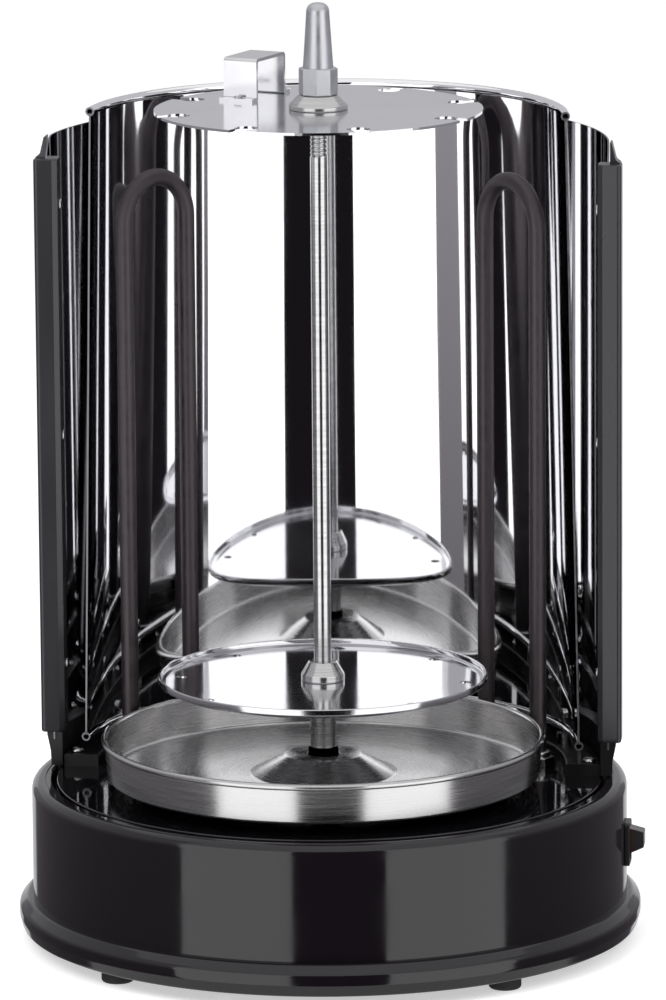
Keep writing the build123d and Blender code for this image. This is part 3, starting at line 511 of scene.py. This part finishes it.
# 0.6 mm grooves stand for the real 0.2 mm ones, which are too fine to show.
pan_steel = lathe_brushed("spun_brushed_steel", "#b9b8b9", "#c9c8c8", 0.24, 0.85, 0.6)
rod_steel = lathe_brushed("turned_steel", "#b4b4b5", "#c9c9c9", 0.2, 0.4, 0.6)
strip_steel = satin_metal("polished_strip_steel", "#c6c6ca", "#d6d6d9", 0.12, 9.0, 0.03)
spike_aluminium = satin_metal("satin_cast_aluminium", "#b9babf", "#c9cace", 0.38, 0.8, 0.004)
zinc_steel = satin_metal("zinc_plated_steel", "#b3b4b8", "#c6c5c0", 0.22, 0.6, 0.003)
sheath_steel = satin_metal("oxidised_heater_sheath", "#4b4649", "#5b5558", 0.5, 1.0, 0.008)
brass = satin_metal("bright_brass", "#c9a450", "#b8923f", 0.25, 0.6, 0.003)
print("metals", mirror_steel.name, pan_steel.name, spike_aluminium.name)


# %% small parts: switch, ceramic and grey plastic
def plain_moulding(name, first, second, rough, grain, depth):
    """Moulded plastic or pressed ceramic with a slightly uneven tone and its own grain."""
    material, tree, shader = new_material(name, first, rough)
    vary_colour(tree, shader, pattern(tree, grain * 6), first, second)
    relief(tree, shader, (pattern(tree, grain), depth))
    return material


switch_black = plain_moulding("matt_switch_nylon", "#121214", "#18181a", 0.35, 0.8, 0.004)
# Smoked plastic of the key; a painted red glow of its neon lamp is mixed into it near the frame
# below.
rocker_smoke_painted_glow = plain_moulding("smoked_rocker_plastic", "#262327", "#2b272b", 0.2, 1.5, 0.002)
grey_plastic = plain_moulding("grey_nylon", "#8d8f92", "#9a9b9d", 0.45, 1.0, 0.006)
ceramic = plain_moulding("pressed_steatite", "#e6e0d2", "#d8d0bf", 0.5, 0.7, 0.01)


# A mix node's sockets for colours have the same names as those for numbers, so they go by place.
first_colour, second_colour = 6, 7


def painted_lamp_glow(material, start, end):
    """Painted glow of the key's neon lamp, which sits near the frame: the smoked plastic is painted
    red there and almost black further out. The colour goes from one to the other along x, in
    metres."""
    tree = material.node_tree
    shader = tree.nodes["Principled BSDF"]
    smoke = shader.inputs["Base Color"].links[0].from_socket
    place = add_node(tree, "ShaderNodeTexCoord")
    x = add_node(tree, "ShaderNodeSeparateXYZ", links={"Vector": place.outputs["Object"]})
    share = add_node(tree, "ShaderNodeMapRange", {"From Min": start, "From Max": end},
                     {"Value": x.outputs["X"]}, interpolation_type="SMOOTHSTEP")
    tint = add_node(tree, "ShaderNodeMix", {first_colour: linear("#38201c")},
                    {"Factor": share.outputs["Result"]}, data_type="RGBA")
    tree.links.new(smoke, tint.inputs[second_colour])
    tree.links.new(tint.outputs[2], shader.inputs["Base Color"])


# Paints the neon lamp's red glow into the key's colour: red up to x = 140.5 mm, fading to the smoke
# by 144 mm.
painted_lamp_glow(rocker_smoke_painted_glow, 0.1405, 0.1440)
print("mouldings", switch_black.name, rocker_smoke_painted_glow.name)

# %% [markdown]
# ## The base
# The base is a stack of turned shapes: a skirt with a rounded shoulder, a plain wall, and a rim
# cap that rolls over to a flat ledge. Turning an outline gives each one exactly. The wall also
# has a window for the switch and a hole for the cord, so it is a sheet on a grid of angle and
# height with the quads at those two places left out, and then thickened.

# %% skirt, wall and rim
ring_top, seam, deck = 20.9, 69.5, 75.0
wall_radius, wall_thickness = 138.5, 2.6
switch_height, inlet_height = 45.686, 37.91
window_half_width, window_half_height, cord_hole_radius = 5.2, 8.9, 5.6

skirt_outline = rounded([(120.5, 6.5), (143.5, 6.5), (145.0, 12.0), (145.0, 16.9), (141.0, 20.9),
                         (135.9, 20.9), (135.9, 17.9), (141.5, 17.9), (141.5, 9.5), (120.5, 9.5)],
                        [0, 1.2, 5.0, 3.5, 2.5, 0, 0, 1.5, 0.5, 0])
piece("skirt", [turned(skirt_outline, step=2.0)], abs_black, "base", ["foot_ring"])


def wall_sheet():
    """x = R sin(a), y = R cos(a) on a grid of angle a and height z, without the quads whose
    middle falls in the switch window or the cord hole."""
    middle_radius = wall_radius - wall_thickness / 2
    angle = np.radians(np.arange(0, 360, 1.0))
    height = np.linspace(ring_top, seam, 50)
    a, z = np.meshgrid(angle, height)
    outward = np.stack([np.sin(a), np.cos(a), 0 * a], -1)
    points = outward * middle_radius + np.stack([0 * a, 0 * a, z], -1)
    faces = quads(*a.shape, wrap=True)
    middle = points.reshape(-1, 3)[faces].mean(1)
    across, up = abs(middle[:, 1]), abs(middle[:, 2] - switch_height)
    window = (middle[:, 0] > 0) & (across < window_half_width) & (up < window_half_height)
    from_hole = np.hypot(middle[:, 0], middle[:, 2] - inlet_height)
    hole = (middle[:, 1] > 0) & (from_hole < cord_hole_radius)
    return thickened(points, outward, faces[~(window | hole)], wall_thickness)


piece("wall", wall_sheet(), abs_black, "base", ["base_wall"])

rim_outline = rounded([(138.5, 69.5), (138.5, 75.4), (132.0, 75.4), (132.0, 75.0), (129.3, 75.0),
                       (129.3, 69.4), (127.0, 69.4), (127.0, 72.0), (124.0, 72.0), (124.0, 67.9),
                       (135.9, 67.9), (135.9, 69.5)],
                      [0, 4.6, 0.2, 0, 0.3, 0, 0, 0, 0, 0, 0, 0], 10)
piece("rim_cap", [turned(rim_outline, step=2.0)], abs_black, "base", ["top_rim"])

# %% [markdown]
# The deck is one enamelled plate. Its middle is round the spit, which stands forward of the
# base's middle, so each ring of the plate has its own centre: rings near the spit share the
# spit's, and the outermost has the base's.

# %% deck and its seat ring
spit_y = -22.0
seat_outline = rounded([(9.05, 75.0), (36.0, 75.0), (37.0, 80.8), (41.0, 80.8), (42.0, 75.0),
                        (126.95, 75.0), (126.95, 72.0), (9.05, 72.0)],
                       [0, 0.8, 0.9, 0.9, 0.8, 0.6, 0, 0])
seat_centre = np.where(seat_outline[:, 0] > 60.0, 0.0, spit_y)
piece("deck", [turned(seat_outline, step=2.0, centre=seat_centre)], enamel_black, "base",
      ["deck_plate"])
smooth_copy("drive_bush", zinc_steel, "base")

# %% [markdown]
# Rubber feet are moulded with a soft lower edge and a stem that pops through the skirt.

# %% feet
foot_outline = rounded([(0.0, 0.0), (7.5, 0.0), (7.5, 6.45), (3.0, 6.45), (3.0, 11.5), (0.0, 11.5)],
                       [0, 1.5, 0.3, 0, 0.6, 0])
foot_reach = 131.0
for foot_name, foot_angle in (("front_left", -139), ("front_right", 136), ("rear_left", -45),
                              ("rear_right", 45)):
    angle = math.radians(foot_angle)
    where = (foot_reach * math.sin(angle), foot_reach * math.cos(angle), 0)
    piece("rubber_" + foot_name, [moved(turned(foot_outline, step=10.0), where)], rubber_black,
          "base", ["foot_" + foot_name])

# %% [markdown]
# ## The pan
# The pan is spun from one disc of steel: a flat floor, a raised middle that keeps fat away from
# the drive, a wall that leans out, and a rolled bead that stiffens the rim.

# %% drip pan
pan_outline = rounded([(34.0, 80.8), (99.0, 80.8), (100.0, 81.8), (101.25, 98.8), (100.25, 98.8),
                       (99.0, 82.8), (98.0, 81.8), (33.7, 81.8), (17.5, 90.4), (7.4, 90.4),
                       (7.4, 89.4), (17.1, 89.4)],
                      [1.0, 0.4, 0.6, 0, 0, 1.0, 0.8, 2.0, 1.6, 0.3, 0, 0.6])
bead_angle = np.linspace(0, 2 * np.pi, 24, endpoint=False)
bead_outline = np.stack([101.25 + 1.5 * np.cos(bead_angle), 98.3 + 1.5 * np.sin(bead_angle)], -1)
piece("drip_pan_spun", [turned(pan_outline, step=2.0, centre=spit_y),
                        turned(bead_outline, step=2.0, centre=spit_y)],
      pan_steel, "pan", ["drip_pan"])

# %% [markdown]
# ## The reflector
# A polished sheet stands in an arc behind the heaters, a little wider at its foot. Both long
# edges are rolled into open tubes, whose sawn ends show as dull rings at the two sides.

# %% reflector sheet with its rolled edges
reflector_half = 85.3
strip_thickness = 0.8
foot_point, top_point = np.array([116.2, 88.6]), np.array([110.3, 384.3])


def reflector_sheet():
    """A cone: the radius goes evenly from foot to top as the height does, at every angle."""
    share = np.linspace(0.003, 0.997, 40)[:, None]
    angle = np.radians(np.linspace(-reflector_half, reflector_half, 121))
    radius = foot_point[0] + share * (top_point[0] - foot_point[0])
    height = foot_point[1] + share * (top_point[1] - foot_point[1])
    points = np.stack([radius * np.sin(angle), radius * np.cos(angle), height + 0 * angle], -1)
    outward = np.broadcast_to(np.stack([np.sin(angle), np.cos(angle), 0 * angle], -1), points.shape)
    return thickened(points, outward, quads(*points.shape[:2]), strip_thickness)


def rolled_edge(place):
    """Part of a torus: x = (R + r cos b) sin a, y = (R + r cos b) cos a, z = h + r sin b, as a
    sheet whose two ends stay open like the real rolled tube's."""
    middle = 1.7
    b = np.linspace(0, 2 * np.pi, 20, endpoint=False)[:, None]
    a = np.radians(np.linspace(-reflector_half, reflector_half, 121))
    out = np.stack([np.cos(b) * np.sin(a), np.cos(b) * np.cos(a), np.sin(b) + 0 * a], -1)
    ring = np.stack([np.sin(a), np.cos(a), 0 * a], -1) * place[0]
    points = ring[None] + middle * out + np.array([0, 0, place[1]])
    index = np.arange(points[..., 0].size).reshape(points.shape[:2])
    return thickened(points, out, squares(np.vstack([index, index[:1]])), strip_thickness)


sheet, sheared = reflector_sheet()
piece("reflector_sheet", [sheet], mirror_steel, "base", ["reflector"],
      cut=[sheared], cut_material=sheared_steel)
low_roll, high_roll = rolled_edge(foot_point), rolled_edge(top_point)
piece("reflector_rolls", [low_roll[0], high_roll[0]], mirror_steel, "base", [],
      cut=[low_roll[1], high_roll[1]], cut_material=sheared_steel)

# %% carrier under the reflector, and its fasteners
carrier_half = 87.0
carrier_outline = rounded([(109.8, 75.0), (126.05, 75.0), (126.05, 80.8), (109.8, 80.8)],
                          [0, 0, 1.0, 1.0])
piece("carrier", [turned(carrier_outline, -carrier_half, 2 * carrier_half, 2.0)], coat_black,
      "base", ["reflector_carrier"])
for node in ("carrier_screws", "reflector_screws", "reflector_spacers"):
    smooth_copy(node, zinc_steel, "base")

# %% [markdown]
# ## The heaters
# Each heater is a steel tube filled with wire and magnesia, bent to an upright hairpin. A ring
# carried along the hairpin's line makes it, and steel glands hold its feet in the deck.

# %% heaters and glands
heater_radius, heater_gap, heater_foot, heater_top = 4.0, 15.0, 58.0, 352.5


def leg_place(side, inset, angle):
    """Inside the reflector's top edge by the gap and an inset, at an angle from the back."""
    reach, a = top_point[0] - heater_gap - inset, math.radians(angle)
    return np.array([side * reach * math.sin(a), reach * math.cos(a)])


legs = {"right": (leg_place(1, -3.9, 73.3), leg_place(1, 4.1, 47.8)),
        "left": (leg_place(-1, -6.2, 73.7), leg_place(-1, 0.5, 50.35))}


def hairpin(outer, inner):
    """Straight up, half a circle over, straight down, in the upright plane of both feet."""
    bend = np.linalg.norm(inner - outer) / 2
    way = np.array([*((inner - outer) / bend / 2), 0.0])
    arch_z = heater_top - heater_radius - bend
    swing = np.linspace(np.pi, 0, 33)
    rise = np.linspace(heater_foot, arch_z, 12)[:-1]
    side = np.concatenate([np.full(len(rise), -bend), bend * np.cos(swing),
                           np.full(len(rise), bend)])
    up = np.concatenate([rise, arch_z + bend * np.sin(swing), rise[::-1]])
    middle = np.array([*(outer + inner) / 2, 0.0])
    path = middle + side[:, None] * way + up[:, None] * np.array([0, 0, 1.0])
    return tube(path, np.cross(way, [0, 0, 1.0]), heater_radius)


def prism(corners, low, high):
    """A flat outline raised straight up."""
    return lofted([corners, corners], [low, high])


def gland_set():
    """Six-sided nut with a round collar at each of the four feet."""
    turn = np.radians(np.arange(0, 360, 60))
    hexagon = 7.5 * np.stack([np.cos(turn), np.sin(turn)], -1)
    collar = rounded([(4.05, 74.0), (5.7, 74.0), (5.7, 82.0), (4.05, 82.0)], [0, 0, 0.8, 0.5])
    shells = []
    for x, y in (*legs["left"], *legs["right"]):
        shells += [moved(prism(hexagon, deck, 79.2), (x, y, 0)),
                   moved(turned(collar, step=10.0), (x, y, 0))]
    return shells


for side, feet in legs.items():
    piece("heater_" + side, [hairpin(*feet)], sheath_steel, "base", [side + "_element"])
piece("heater_glands", gland_set(), zinc_steel, "base", ["element_glands"],
      bevel=0.35)

# %% [markdown]
# ## The doors
# Each door is a polished curved guard with one rounded corner, a foot rail on a thin tongue
# that runs in the rim's track, and a black grip bar along its front edge. One side is worked
# out, and the other is its mirror image.

# %% guard sheet
door_radius, door_foot, door_top, door_corner = 130.0, 88.4, 372.5, 13.4
door_face, face_gap = 89.0, 1.6


def guard_sheet():
    """A cylinder on a grid of angle and height. Near the front edge the height falls by
    R - sqrt(R * R - (R - s) ** 2), with s the distance to the edge, which rounds the corner."""
    front = door_face - math.degrees(face_gap / door_radius)
    corner_angle = math.degrees(door_corner / door_radius)
    degrees = np.concatenate([np.linspace(2.0, front - corner_angle, 60)[:-1],
                              front - corner_angle * np.cos(np.linspace(0, np.pi / 2, 16))])
    s = np.radians(front - degrees) * door_radius
    inside = np.clip(door_corner - s, 0, None)
    drop = door_corner - np.sqrt(np.clip(door_corner ** 2 - inside ** 2, 0, None))
    share = np.linspace(0, 1, 40)[:, None]
    a = np.radians(degrees)[None, :]
    height = door_foot + share * (door_top - drop - door_foot)
    outward = np.stack([np.sin(a) + 0 * share, np.cos(a) + 0 * share, 0 * a + 0 * share], -1)
    points = outward * door_radius + np.stack([0 * height, 0 * height, height], -1)
    return thickened(points, outward, quads(*points.shape[:2]), strip_thickness)


# %% foot rail and grip bar
def foot_rail():
    """The rail's outline turned through the door's arc; its crown stops where the grip begins."""
    low = rounded([(127.35, 70.6), (128.95, 70.6), (128.95, 75.75), (131.7, 75.75), (132.0, 82.75),
                   (133.55, 90.5), (133.6, 91.7), (126.4, 91.7), (126.4, 75.75), (127.35, 75.75)],
                  [0.3, 0.3, 0, 0.5, 2.0, 1.0, 0.2, 0.2, 0.3, 0])
    crown = rounded([(126.4, 91.7), (133.6, 91.7), (133.6, 93.4), (126.4, 93.4)], [0, 0, 0.5, 0.5])
    return [turned(low, 2.0, 85.9, 2.0), turned(crown, 2.0, 81.2, 2.0)]


def grip_bar():
    """A round-cornered bar stacked from its own section, drawn in at the two ends, and an ear:
    an upright outline across the sheet, given its depth from front to back."""
    inset = np.array([1.2, 0.5, 0.12, 0.0, 0.0, 0.0, 0.0, 0.12, 0.5, 1.2])
    height = np.array([91.8, 91.95, 92.3, 93.0, 94.0, 361.4, 362.0, 362.45, 362.7, 362.8])
    section = rounded([(125.0, 3.0), (127.4, 1.3), (136.0, 0.2), (136.0, 12.5), (125.0, 12.5)],
                      [0.5, 0.5, 1.6, 1.5, 1.5], 8)
    middle = np.array([130.5, 6.25])
    size = np.array([11.0, 12.5])
    scale = (size - 2 * inset[:, None]) / size
    bar = lofted(middle + (section - middle)[None] * scale[:, None], height)
    ear = rounded([(130.6, 361.0), (135.4, 361.0), (135.4, 363.2), (133.4, 364.4), (131.4, 372.6),
                   (130.6, 372.8)], [0, 0, 0.6, 3.0, 0.4, 0.2])
    ear = moved(prism(ear, -12.5, -4.5), axes=((1, 0, 0), (0, 0, 1), (0, -1, 0)))
    return [spun(bar, 1.0), spun(ear, 1.0)]


# %% both doors
for side, place in (("right", lambda shell: shell), ("left", mirrored)):
    body = side + "_door"
    guard, guard_edge = [place(shell) for shell in guard_sheet()]
    piece(side + "_guard", [guard], mirror_steel, body, [body + "_sheet"],
          cut=[guard_edge], cut_material=sheared_steel)
    piece(side + "_foot_rail", [place(shell) for shell in foot_rail()], coat_black, body,
          [body + "_runner"])
    piece(side + "_grip", [place(shell) for shell in grip_bar()], grip_black, body,
          [body + "_handle"], bevel=0.25)
    smooth_copy(body + "_screws", zinc_steel, body)

# %% [markdown]
# ## The spit
# The shaft is turned: thick below the plate, thin through the meat and threaded at the top. The
# thread is one surface whose radius goes up and down with height and turns with the angle, so
# it is a real helix. The plate, the disc and the bridge keep their solids' cuts.

# %% shaft, plate and hub
rod_radius, thread_pitch, thread_depth = 4.0, 2.0, 0.55
thread_start, thread_end = 370.0, 410.0


def threaded_rod():
    """radius = R - depth * (1 - cos(2 pi (z / pitch - angle / 2 pi))) / 2 along the thread, and
    R below and above it."""
    z = np.concatenate([[123.3, 124.0, 200.0, 300.0, 369.0],
                        np.arange(thread_start, thread_end, 0.25), [410.5, 417.6, 418.3]])
    angle = np.linspace(0, 2 * np.pi, 37)
    depth = np.where((z >= thread_start) & (z < thread_end), thread_depth, 0.0)[:, None]
    z = z[:, None]
    radius = rod_radius - depth * (1 - np.cos(2 * np.pi * z / thread_pitch - angle)) / 2
    points = np.stack([radius * np.cos(angle), spit_y + radius * np.sin(angle), z + 0 * angle], -1)
    texture = np.stack([z + 0 * angle, angle * rod_radius + 0 * z], -1)
    faces = quads(*points.shape[:2]).tolist()
    ends = np.arange(len(angle) - 1)
    faces += [ends.tolist(), (ends[::-1] + (len(z) - 1) * len(angle)).tolist()]
    return points.reshape(-1, 3), texture.reshape(-1, 2), faces


shaft_outline = rounded([(0.0, 93.7), (6.0, 93.7), (6.0, 123.8), (0.0, 123.8)], [0, 0.5, 0.4, 0])
tang = lofted([rounded_box(6.6, 6.6, 0.4)] * 2, [84.7, 94.5])
spit_shells = [turned(shaft_outline, centre=spit_y), moved(tang, (0, spit_y, 0)), threaded_rod()]
piece("spit_rod", spit_shells, rod_steel, "spit", ["spit_shaft"])
smooth_copy("drive_socket", rod_steel, "drive")

smooth_copy("meat_plate", strip_steel, "spit")
hub_outline = rounded([(4.05, 125.3), (10.0, 125.3), (10.0, 128.3), (6.5, 134.3), (4.05, 134.3)],
                      [0, 0.5, 1.0, 0.8, 0])
piece("hub", [turned(hub_outline, centre=spit_y)], rod_steel, "spit", ["plate_hub"])

# %% disc, bridge and fasteners at the top
for node, finish, slot_name in (("skewer_disc", strip_steel, "bright_steel"),
                                ("lift_bracket", strip_steel, "bright_steel"),
                                ("bracket_rivets", zinc_steel, "zinc_steel"),
                                ("lock_nut", zinc_steel, "zinc_steel")):
    smooth_copy(node, finish, "spit")
washer_outline = rounded([(4.05, 391.3), (13.5, 391.3), (13.5, 393.3), (9.0, 397.8), (4.05, 397.8)],
                         [0, 0.5, 1.2, 1.5, 0])
piece("domed_washer", [turned(washer_outline, centre=spit_y)], rod_steel, "spit",
      ["disc_washer"])

# %% [markdown]
# The top handle is cast aluminium: an eight-sided collar for a spanner below a tapered grip
# with a rounded tip.

# %% top handle
def top_handle():
    """Collar stacked from eight-sided outlines with eased edges, and a turned grip."""
    turn = np.radians(np.arange(0, 360, 45))
    octagon = np.stack([np.cos(turn), np.sin(turn)], -1)
    radius = np.array([8.5, 9.0, 9.0, 8.5])
    collar = lofted(octagon[None] * radius[:, None, None], [397.8, 398.4, 409.7, 410.3])
    grip = rounded([(0.0, 398.3), (6.9, 398.3), (6.95, 410.3), (5.0, 439.8), (0.0, 439.8)],
                   [0, 0, 0, 3.8, 0], 10)
    return [moved(collar, (0, spit_y, 0)), turned(grip, centre=spit_y)]


piece("top_handle", top_handle(), spike_aluminium, "spike", ["spike_handle"],
      sharp=28.0, bevel=0.3)

# %% [markdown]
# ## Switch and cord inlet
# The switch is a snap-in rocker: a nylon frame round a well, and a smoked key that tips in it.

# %% switch frame and key
def switch_frame():
    """Outlines of a round-cornered window stacked outwards, over the edge, and down into the well.
    Each outline has its own width, length and corner radius; the last one is the well's floor."""
    width = np.array([13.0, 13.0, 12.8, 12.3, 10.2, 9.7, 9.6, 9.6])
    length = width + 7.5
    radius = np.array([1.5, 1.5, 1.4, 1.3, 0.6, 0.4, 0.4, 0.4])
    depth = np.array([138.5, 140.1, 140.5, 140.7, 140.7, 140.5, 140.2, 130.4])
    outlines = [rounded_box(w, l, r, 4) for w, l, r in zip(width, length, radius)]
    return moved(lofted(outlines, depth), (0, 0, switch_height),
                 axes=((0, 1, 0), (0, 0, 1), (1, 0, 0)))


def rocker_key():
    """The key's side view, a thumb block above a sloping face, raised across its width."""
    side_view = rounded([(135.2, -3.7), (135.2, 3.7), (139.7, 7.85), (147.2, 5.85), (147.2, -1.4),
                         (141.5, -4.0), (140.3, -7.85), (139.3, -7.85)],
                        [0.8, 0.8, 0.6, 1.0, 0.8, 1.0, 0.2, 0.2])
    return moved(prism(side_view, -4.5, 4.5), (0, 0, switch_height),
                 axes=((1, 0, 0), (0, 0, 1), (0, -1, 0)))


piece("switch_frame", [switch_frame()], switch_black, "base", ["switch_bezel"])
piece("rocker", [rocker_key()], rocker_smoke_painted_glow, "rocker", ["rocker_key"], bevel=0.3)

# %% cord inlet
inlet_outline = rounded([(3.6, 133.4), (3.6, 143.5), (8.0, 143.5), (8.0, 138.5), (6.0, 138.0),
                         (6.0, 133.4)], [0, 0.8, 1.4, 0.3, 0, 0])
inlet = moved(turned(inlet_outline, step=10.0), (0, 0, inlet_height),
              axes=((1, 0, 0), (0, 0, -1), (0, 1, 0)))
piece("cord_bush", [inlet], rubber_black, "base", ["cord_inlet"])

# %% [markdown]
# ## Hidden works
# The motor, the wiring pieces and the underside keep their solids. Each gets the finish of its
# own stuff, because the grill can be turned over or opened at a pose.

# %% finishes for the nodes that stay
kept = {
    "bottom_cover": (coat_black, "black_coated_steel"), "bottom_screws": (zinc_steel, "zinc_steel"),
    "motor_posts": (zinc_steel, "zinc_steel"), "motor_bracket": (zinc_steel, "zinc_steel"),
    "motor_screws": (zinc_steel, "zinc_steel"), "gearbox_case": (spike_aluminium, "cast_aluminium"),
    "motor_can": (zinc_steel, "zinc_steel"), "drive_shaft": (rod_steel, "turned_steel"),
    "switch_terminals": (brass, "brass_parts"), "terminal_block": (grey_plastic, "grey_plastic"),
    "thermal_cutout": (ceramic, "ceramic_parts"), "element_terminals": (ceramic, "ceramic_parts"),
}
for node, (finish, slot_name) in kept.items():
    owner = frame["nodes"][node]["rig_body"]
    smooth_copy(node, finish, owner)

# %% [markdown]
# ## Studio
# A table, a white room and a ring of tall cards about 2 m away: softboxes with black felt
# between them in front, grey walls at the sides and pale strips behind. Only reflections meet
# the cards. They draw the bright and dark upright bands that make polished metal read as
# polished. Soft lamps give the plain light.

# %% floor and background
def emitter(name, colour, strength, upper=None):
    """A finish for cards that shines evenly, or goes to an upper colour from 0.5 m below the
    table to 0.2 m above it."""
    material = bpy.data.materials.new(name)
    material.use_nodes = True
    tree = material.node_tree
    tree.nodes.clear()
    glow = add_node(tree, "ShaderNodeEmission", {"Color": linear(colour), "Strength": strength})
    if upper:
        place = add_node(tree, "ShaderNodeTexCoord")
        height = add_node(tree, "ShaderNodeSeparateXYZ", links={"Vector": place.outputs["Object"]})
        share = add_node(tree, "ShaderNodeMapRange", {"From Min": -0.5, "From Max": 0.2},
                         {"Value": height.outputs["Z"]})
        graded = add_node(tree, "ShaderNodeMix",
                          {first_colour: linear(colour), second_colour: linear(upper)},
                          {"Factor": share.outputs["Result"]}, data_type="RGBA")
        tree.links.new(graded.outputs[2], glow.inputs["Color"])
    add_node(tree, "ShaderNodeOutputMaterial", links={"Surface": glow.outputs["Emission"]})
    return material


def table_top():
    """Pale matt laminate. What the camera sees of it is lifted towards white, and the part that
    is lit stays on top of that, so the grill keeps its soft shadow."""
    material, tree, shader = new_material("pale_matt_laminate", "#f4f4f4", 0.9)
    path = add_node(tree, "ShaderNodeLightPath")
    shader.inputs["Emission Color"].default_value = (1, 1, 1, 1)
    lift = add_node(tree, "ShaderNodeMath", {1: 0.5}, {0: path.outputs["Is Camera Ray"]},
                    operation="MULTIPLY")
    tree.links.new(lift.outputs[0], shader.inputs["Emission Strength"])
    return material


def stage_sheet(name, points, material):
    """A one-sided sheet from a grid of points in metres."""
    mesh = bpy.data.meshes.new(name)
    mesh.from_pydata(points.reshape(-1, 3), [], quads(*points.shape[:2]).tolist())
    mesh.shade_smooth()
    made = bpy.data.objects.new(name, mesh)
    bpy.context.scene.collection.objects.link(made)
    made.data.materials.append(material)
    return made


reach = np.linspace(-6.0, 6.0, 3)
floor_x, floor_y = np.meshgrid(reach, reach)
floor = stage_sheet("table", np.stack([floor_x, floor_y, 0 * floor_x], -1), table_top())
floor.visible_glossy = False

world = bpy.data.worlds.new("white_room")
bpy.context.scene.world = world
world.use_nodes = True
tree = world.node_tree
tree.nodes.clear()
path = add_node(tree, "ShaderNodeLightPath")
seen = path.outputs["Is Camera Ray"]
for ray in ("Is Glossy Ray", "Is Transmission Ray"):
    seen = add_node(tree, "ShaderNodeMath", operation="MAXIMUM",
                    links={0: seen, 1: path.outputs[ray]}).outputs[0]
strength = add_node(tree, "ShaderNodeMapRange", {"To Min": 0.5, "To Max": 1.0}, {"Value": seen})
room = add_node(tree, "ShaderNodeBackground", {"Color": (1, 1, 1, 1)},
                {"Strength": strength.outputs["Result"]})
add_node(tree, "ShaderNodeOutputWorld", links={"Surface": room.outputs["Background"]})
print("floor and white room made")


# %% cards for reflections
def arc_card(name, start, end, radius, low, high, material):
    """Part of an upright cylinder round the grill, between two angles from the camera's side,
    positive towards its right."""
    angle = camera_azimuth + np.radians(np.linspace(start, end, 25))
    height = np.array([[low], [high]])
    points = np.stack([radius * np.sin(angle) + 0 * height, -radius * np.cos(angle) + 0 * height,
                       height + 0 * angle], -1)
    card = stage_sheet(name, points, material)
    card.visible_camera = card.visible_diffuse = card.visible_shadow = False
    card.visible_transmission = False


softbox_cloth = emitter("softbox_cloth", "#ffffff", 1.8)
black_felt = emitter("black_felt", "#19161a", 1.0)
grey_wall = emitter("grey_wall_paint", "#605d61", 1.0, upper="#a3a1a6")
pale_ceiling = emitter("pale_ceiling_paint", "#c8c8cb", 1.0)
back_paper = emitter("back_paper", "#e4e4e7", 1.0)
# Each place is a radius, a foot and a top in metres.
front, wall, cove, inner = (2.0, -1.2, 0.9), (2.0, -1.2, 0.45), (2.0, 0.45, 2.2), (1.9, -1.2, 0.45)
for name, start, end, place, material in (
        ("softbox_left", -57, -14, front, softbox_cloth),
        ("felt_between", -14, 20.6, front, black_felt),
        ("softbox_right", 20.6, 68.4, front, softbox_cloth),
        ("grey_wall_left", -180, -57, wall, grey_wall),
        ("grey_wall_right", 68.4, 180, wall, grey_wall),
        ("pale_cove", 75, 300, cove, pale_ceiling),
        ("strip_back_left", -174, -156, inner, back_paper),
        ("strip_back_right", 156, 174, inner, back_paper),
        ("felt_behind", 176, 184, inner, black_felt)):
    arc_card(name, start, end, *place, material)


# %% lamps
def soft_lamp(name, angle, elevation, distance, size, power):
    """A square lamp at an angle from the camera's side, aimed at the middle of the grill."""
    data = bpy.data.lights.new(name, "AREA")
    data.size = size
    data.energy = power
    made = bpy.data.objects.new(name, data)
    bpy.context.scene.collection.objects.link(made)
    a, e = camera_azimuth + math.radians(angle), math.radians(elevation)
    out = np.array([math.sin(a) * math.cos(e), -math.cos(a) * math.cos(e), math.sin(e)])
    place = out * distance + np.array([0, 0, 0.2])
    side = np.cross([0, 0, 1.0], out)
    side /= np.linalg.norm(side)
    matrix = np.eye(4)
    matrix[:3, :4] = np.stack([side, np.cross(out, side), out, place], -1)
    made.matrix_world = Matrix(matrix.tolist())
    made.visible_glossy = False


soft_lamp("key_lamp", -40, 42, 1.9, 1.2, 14.0)
soft_lamp("fill_lamp", 45, 35, 1.9, 1.2, 9.0)
soft_lamp("top_lamp", 0, 85, 2.0, 1.4, 8.0)

# %% [markdown]
# The plain Standard view shows colours as they are written.

# %% finish
bpy.context.scene.view_settings.view_transform = "Standard"
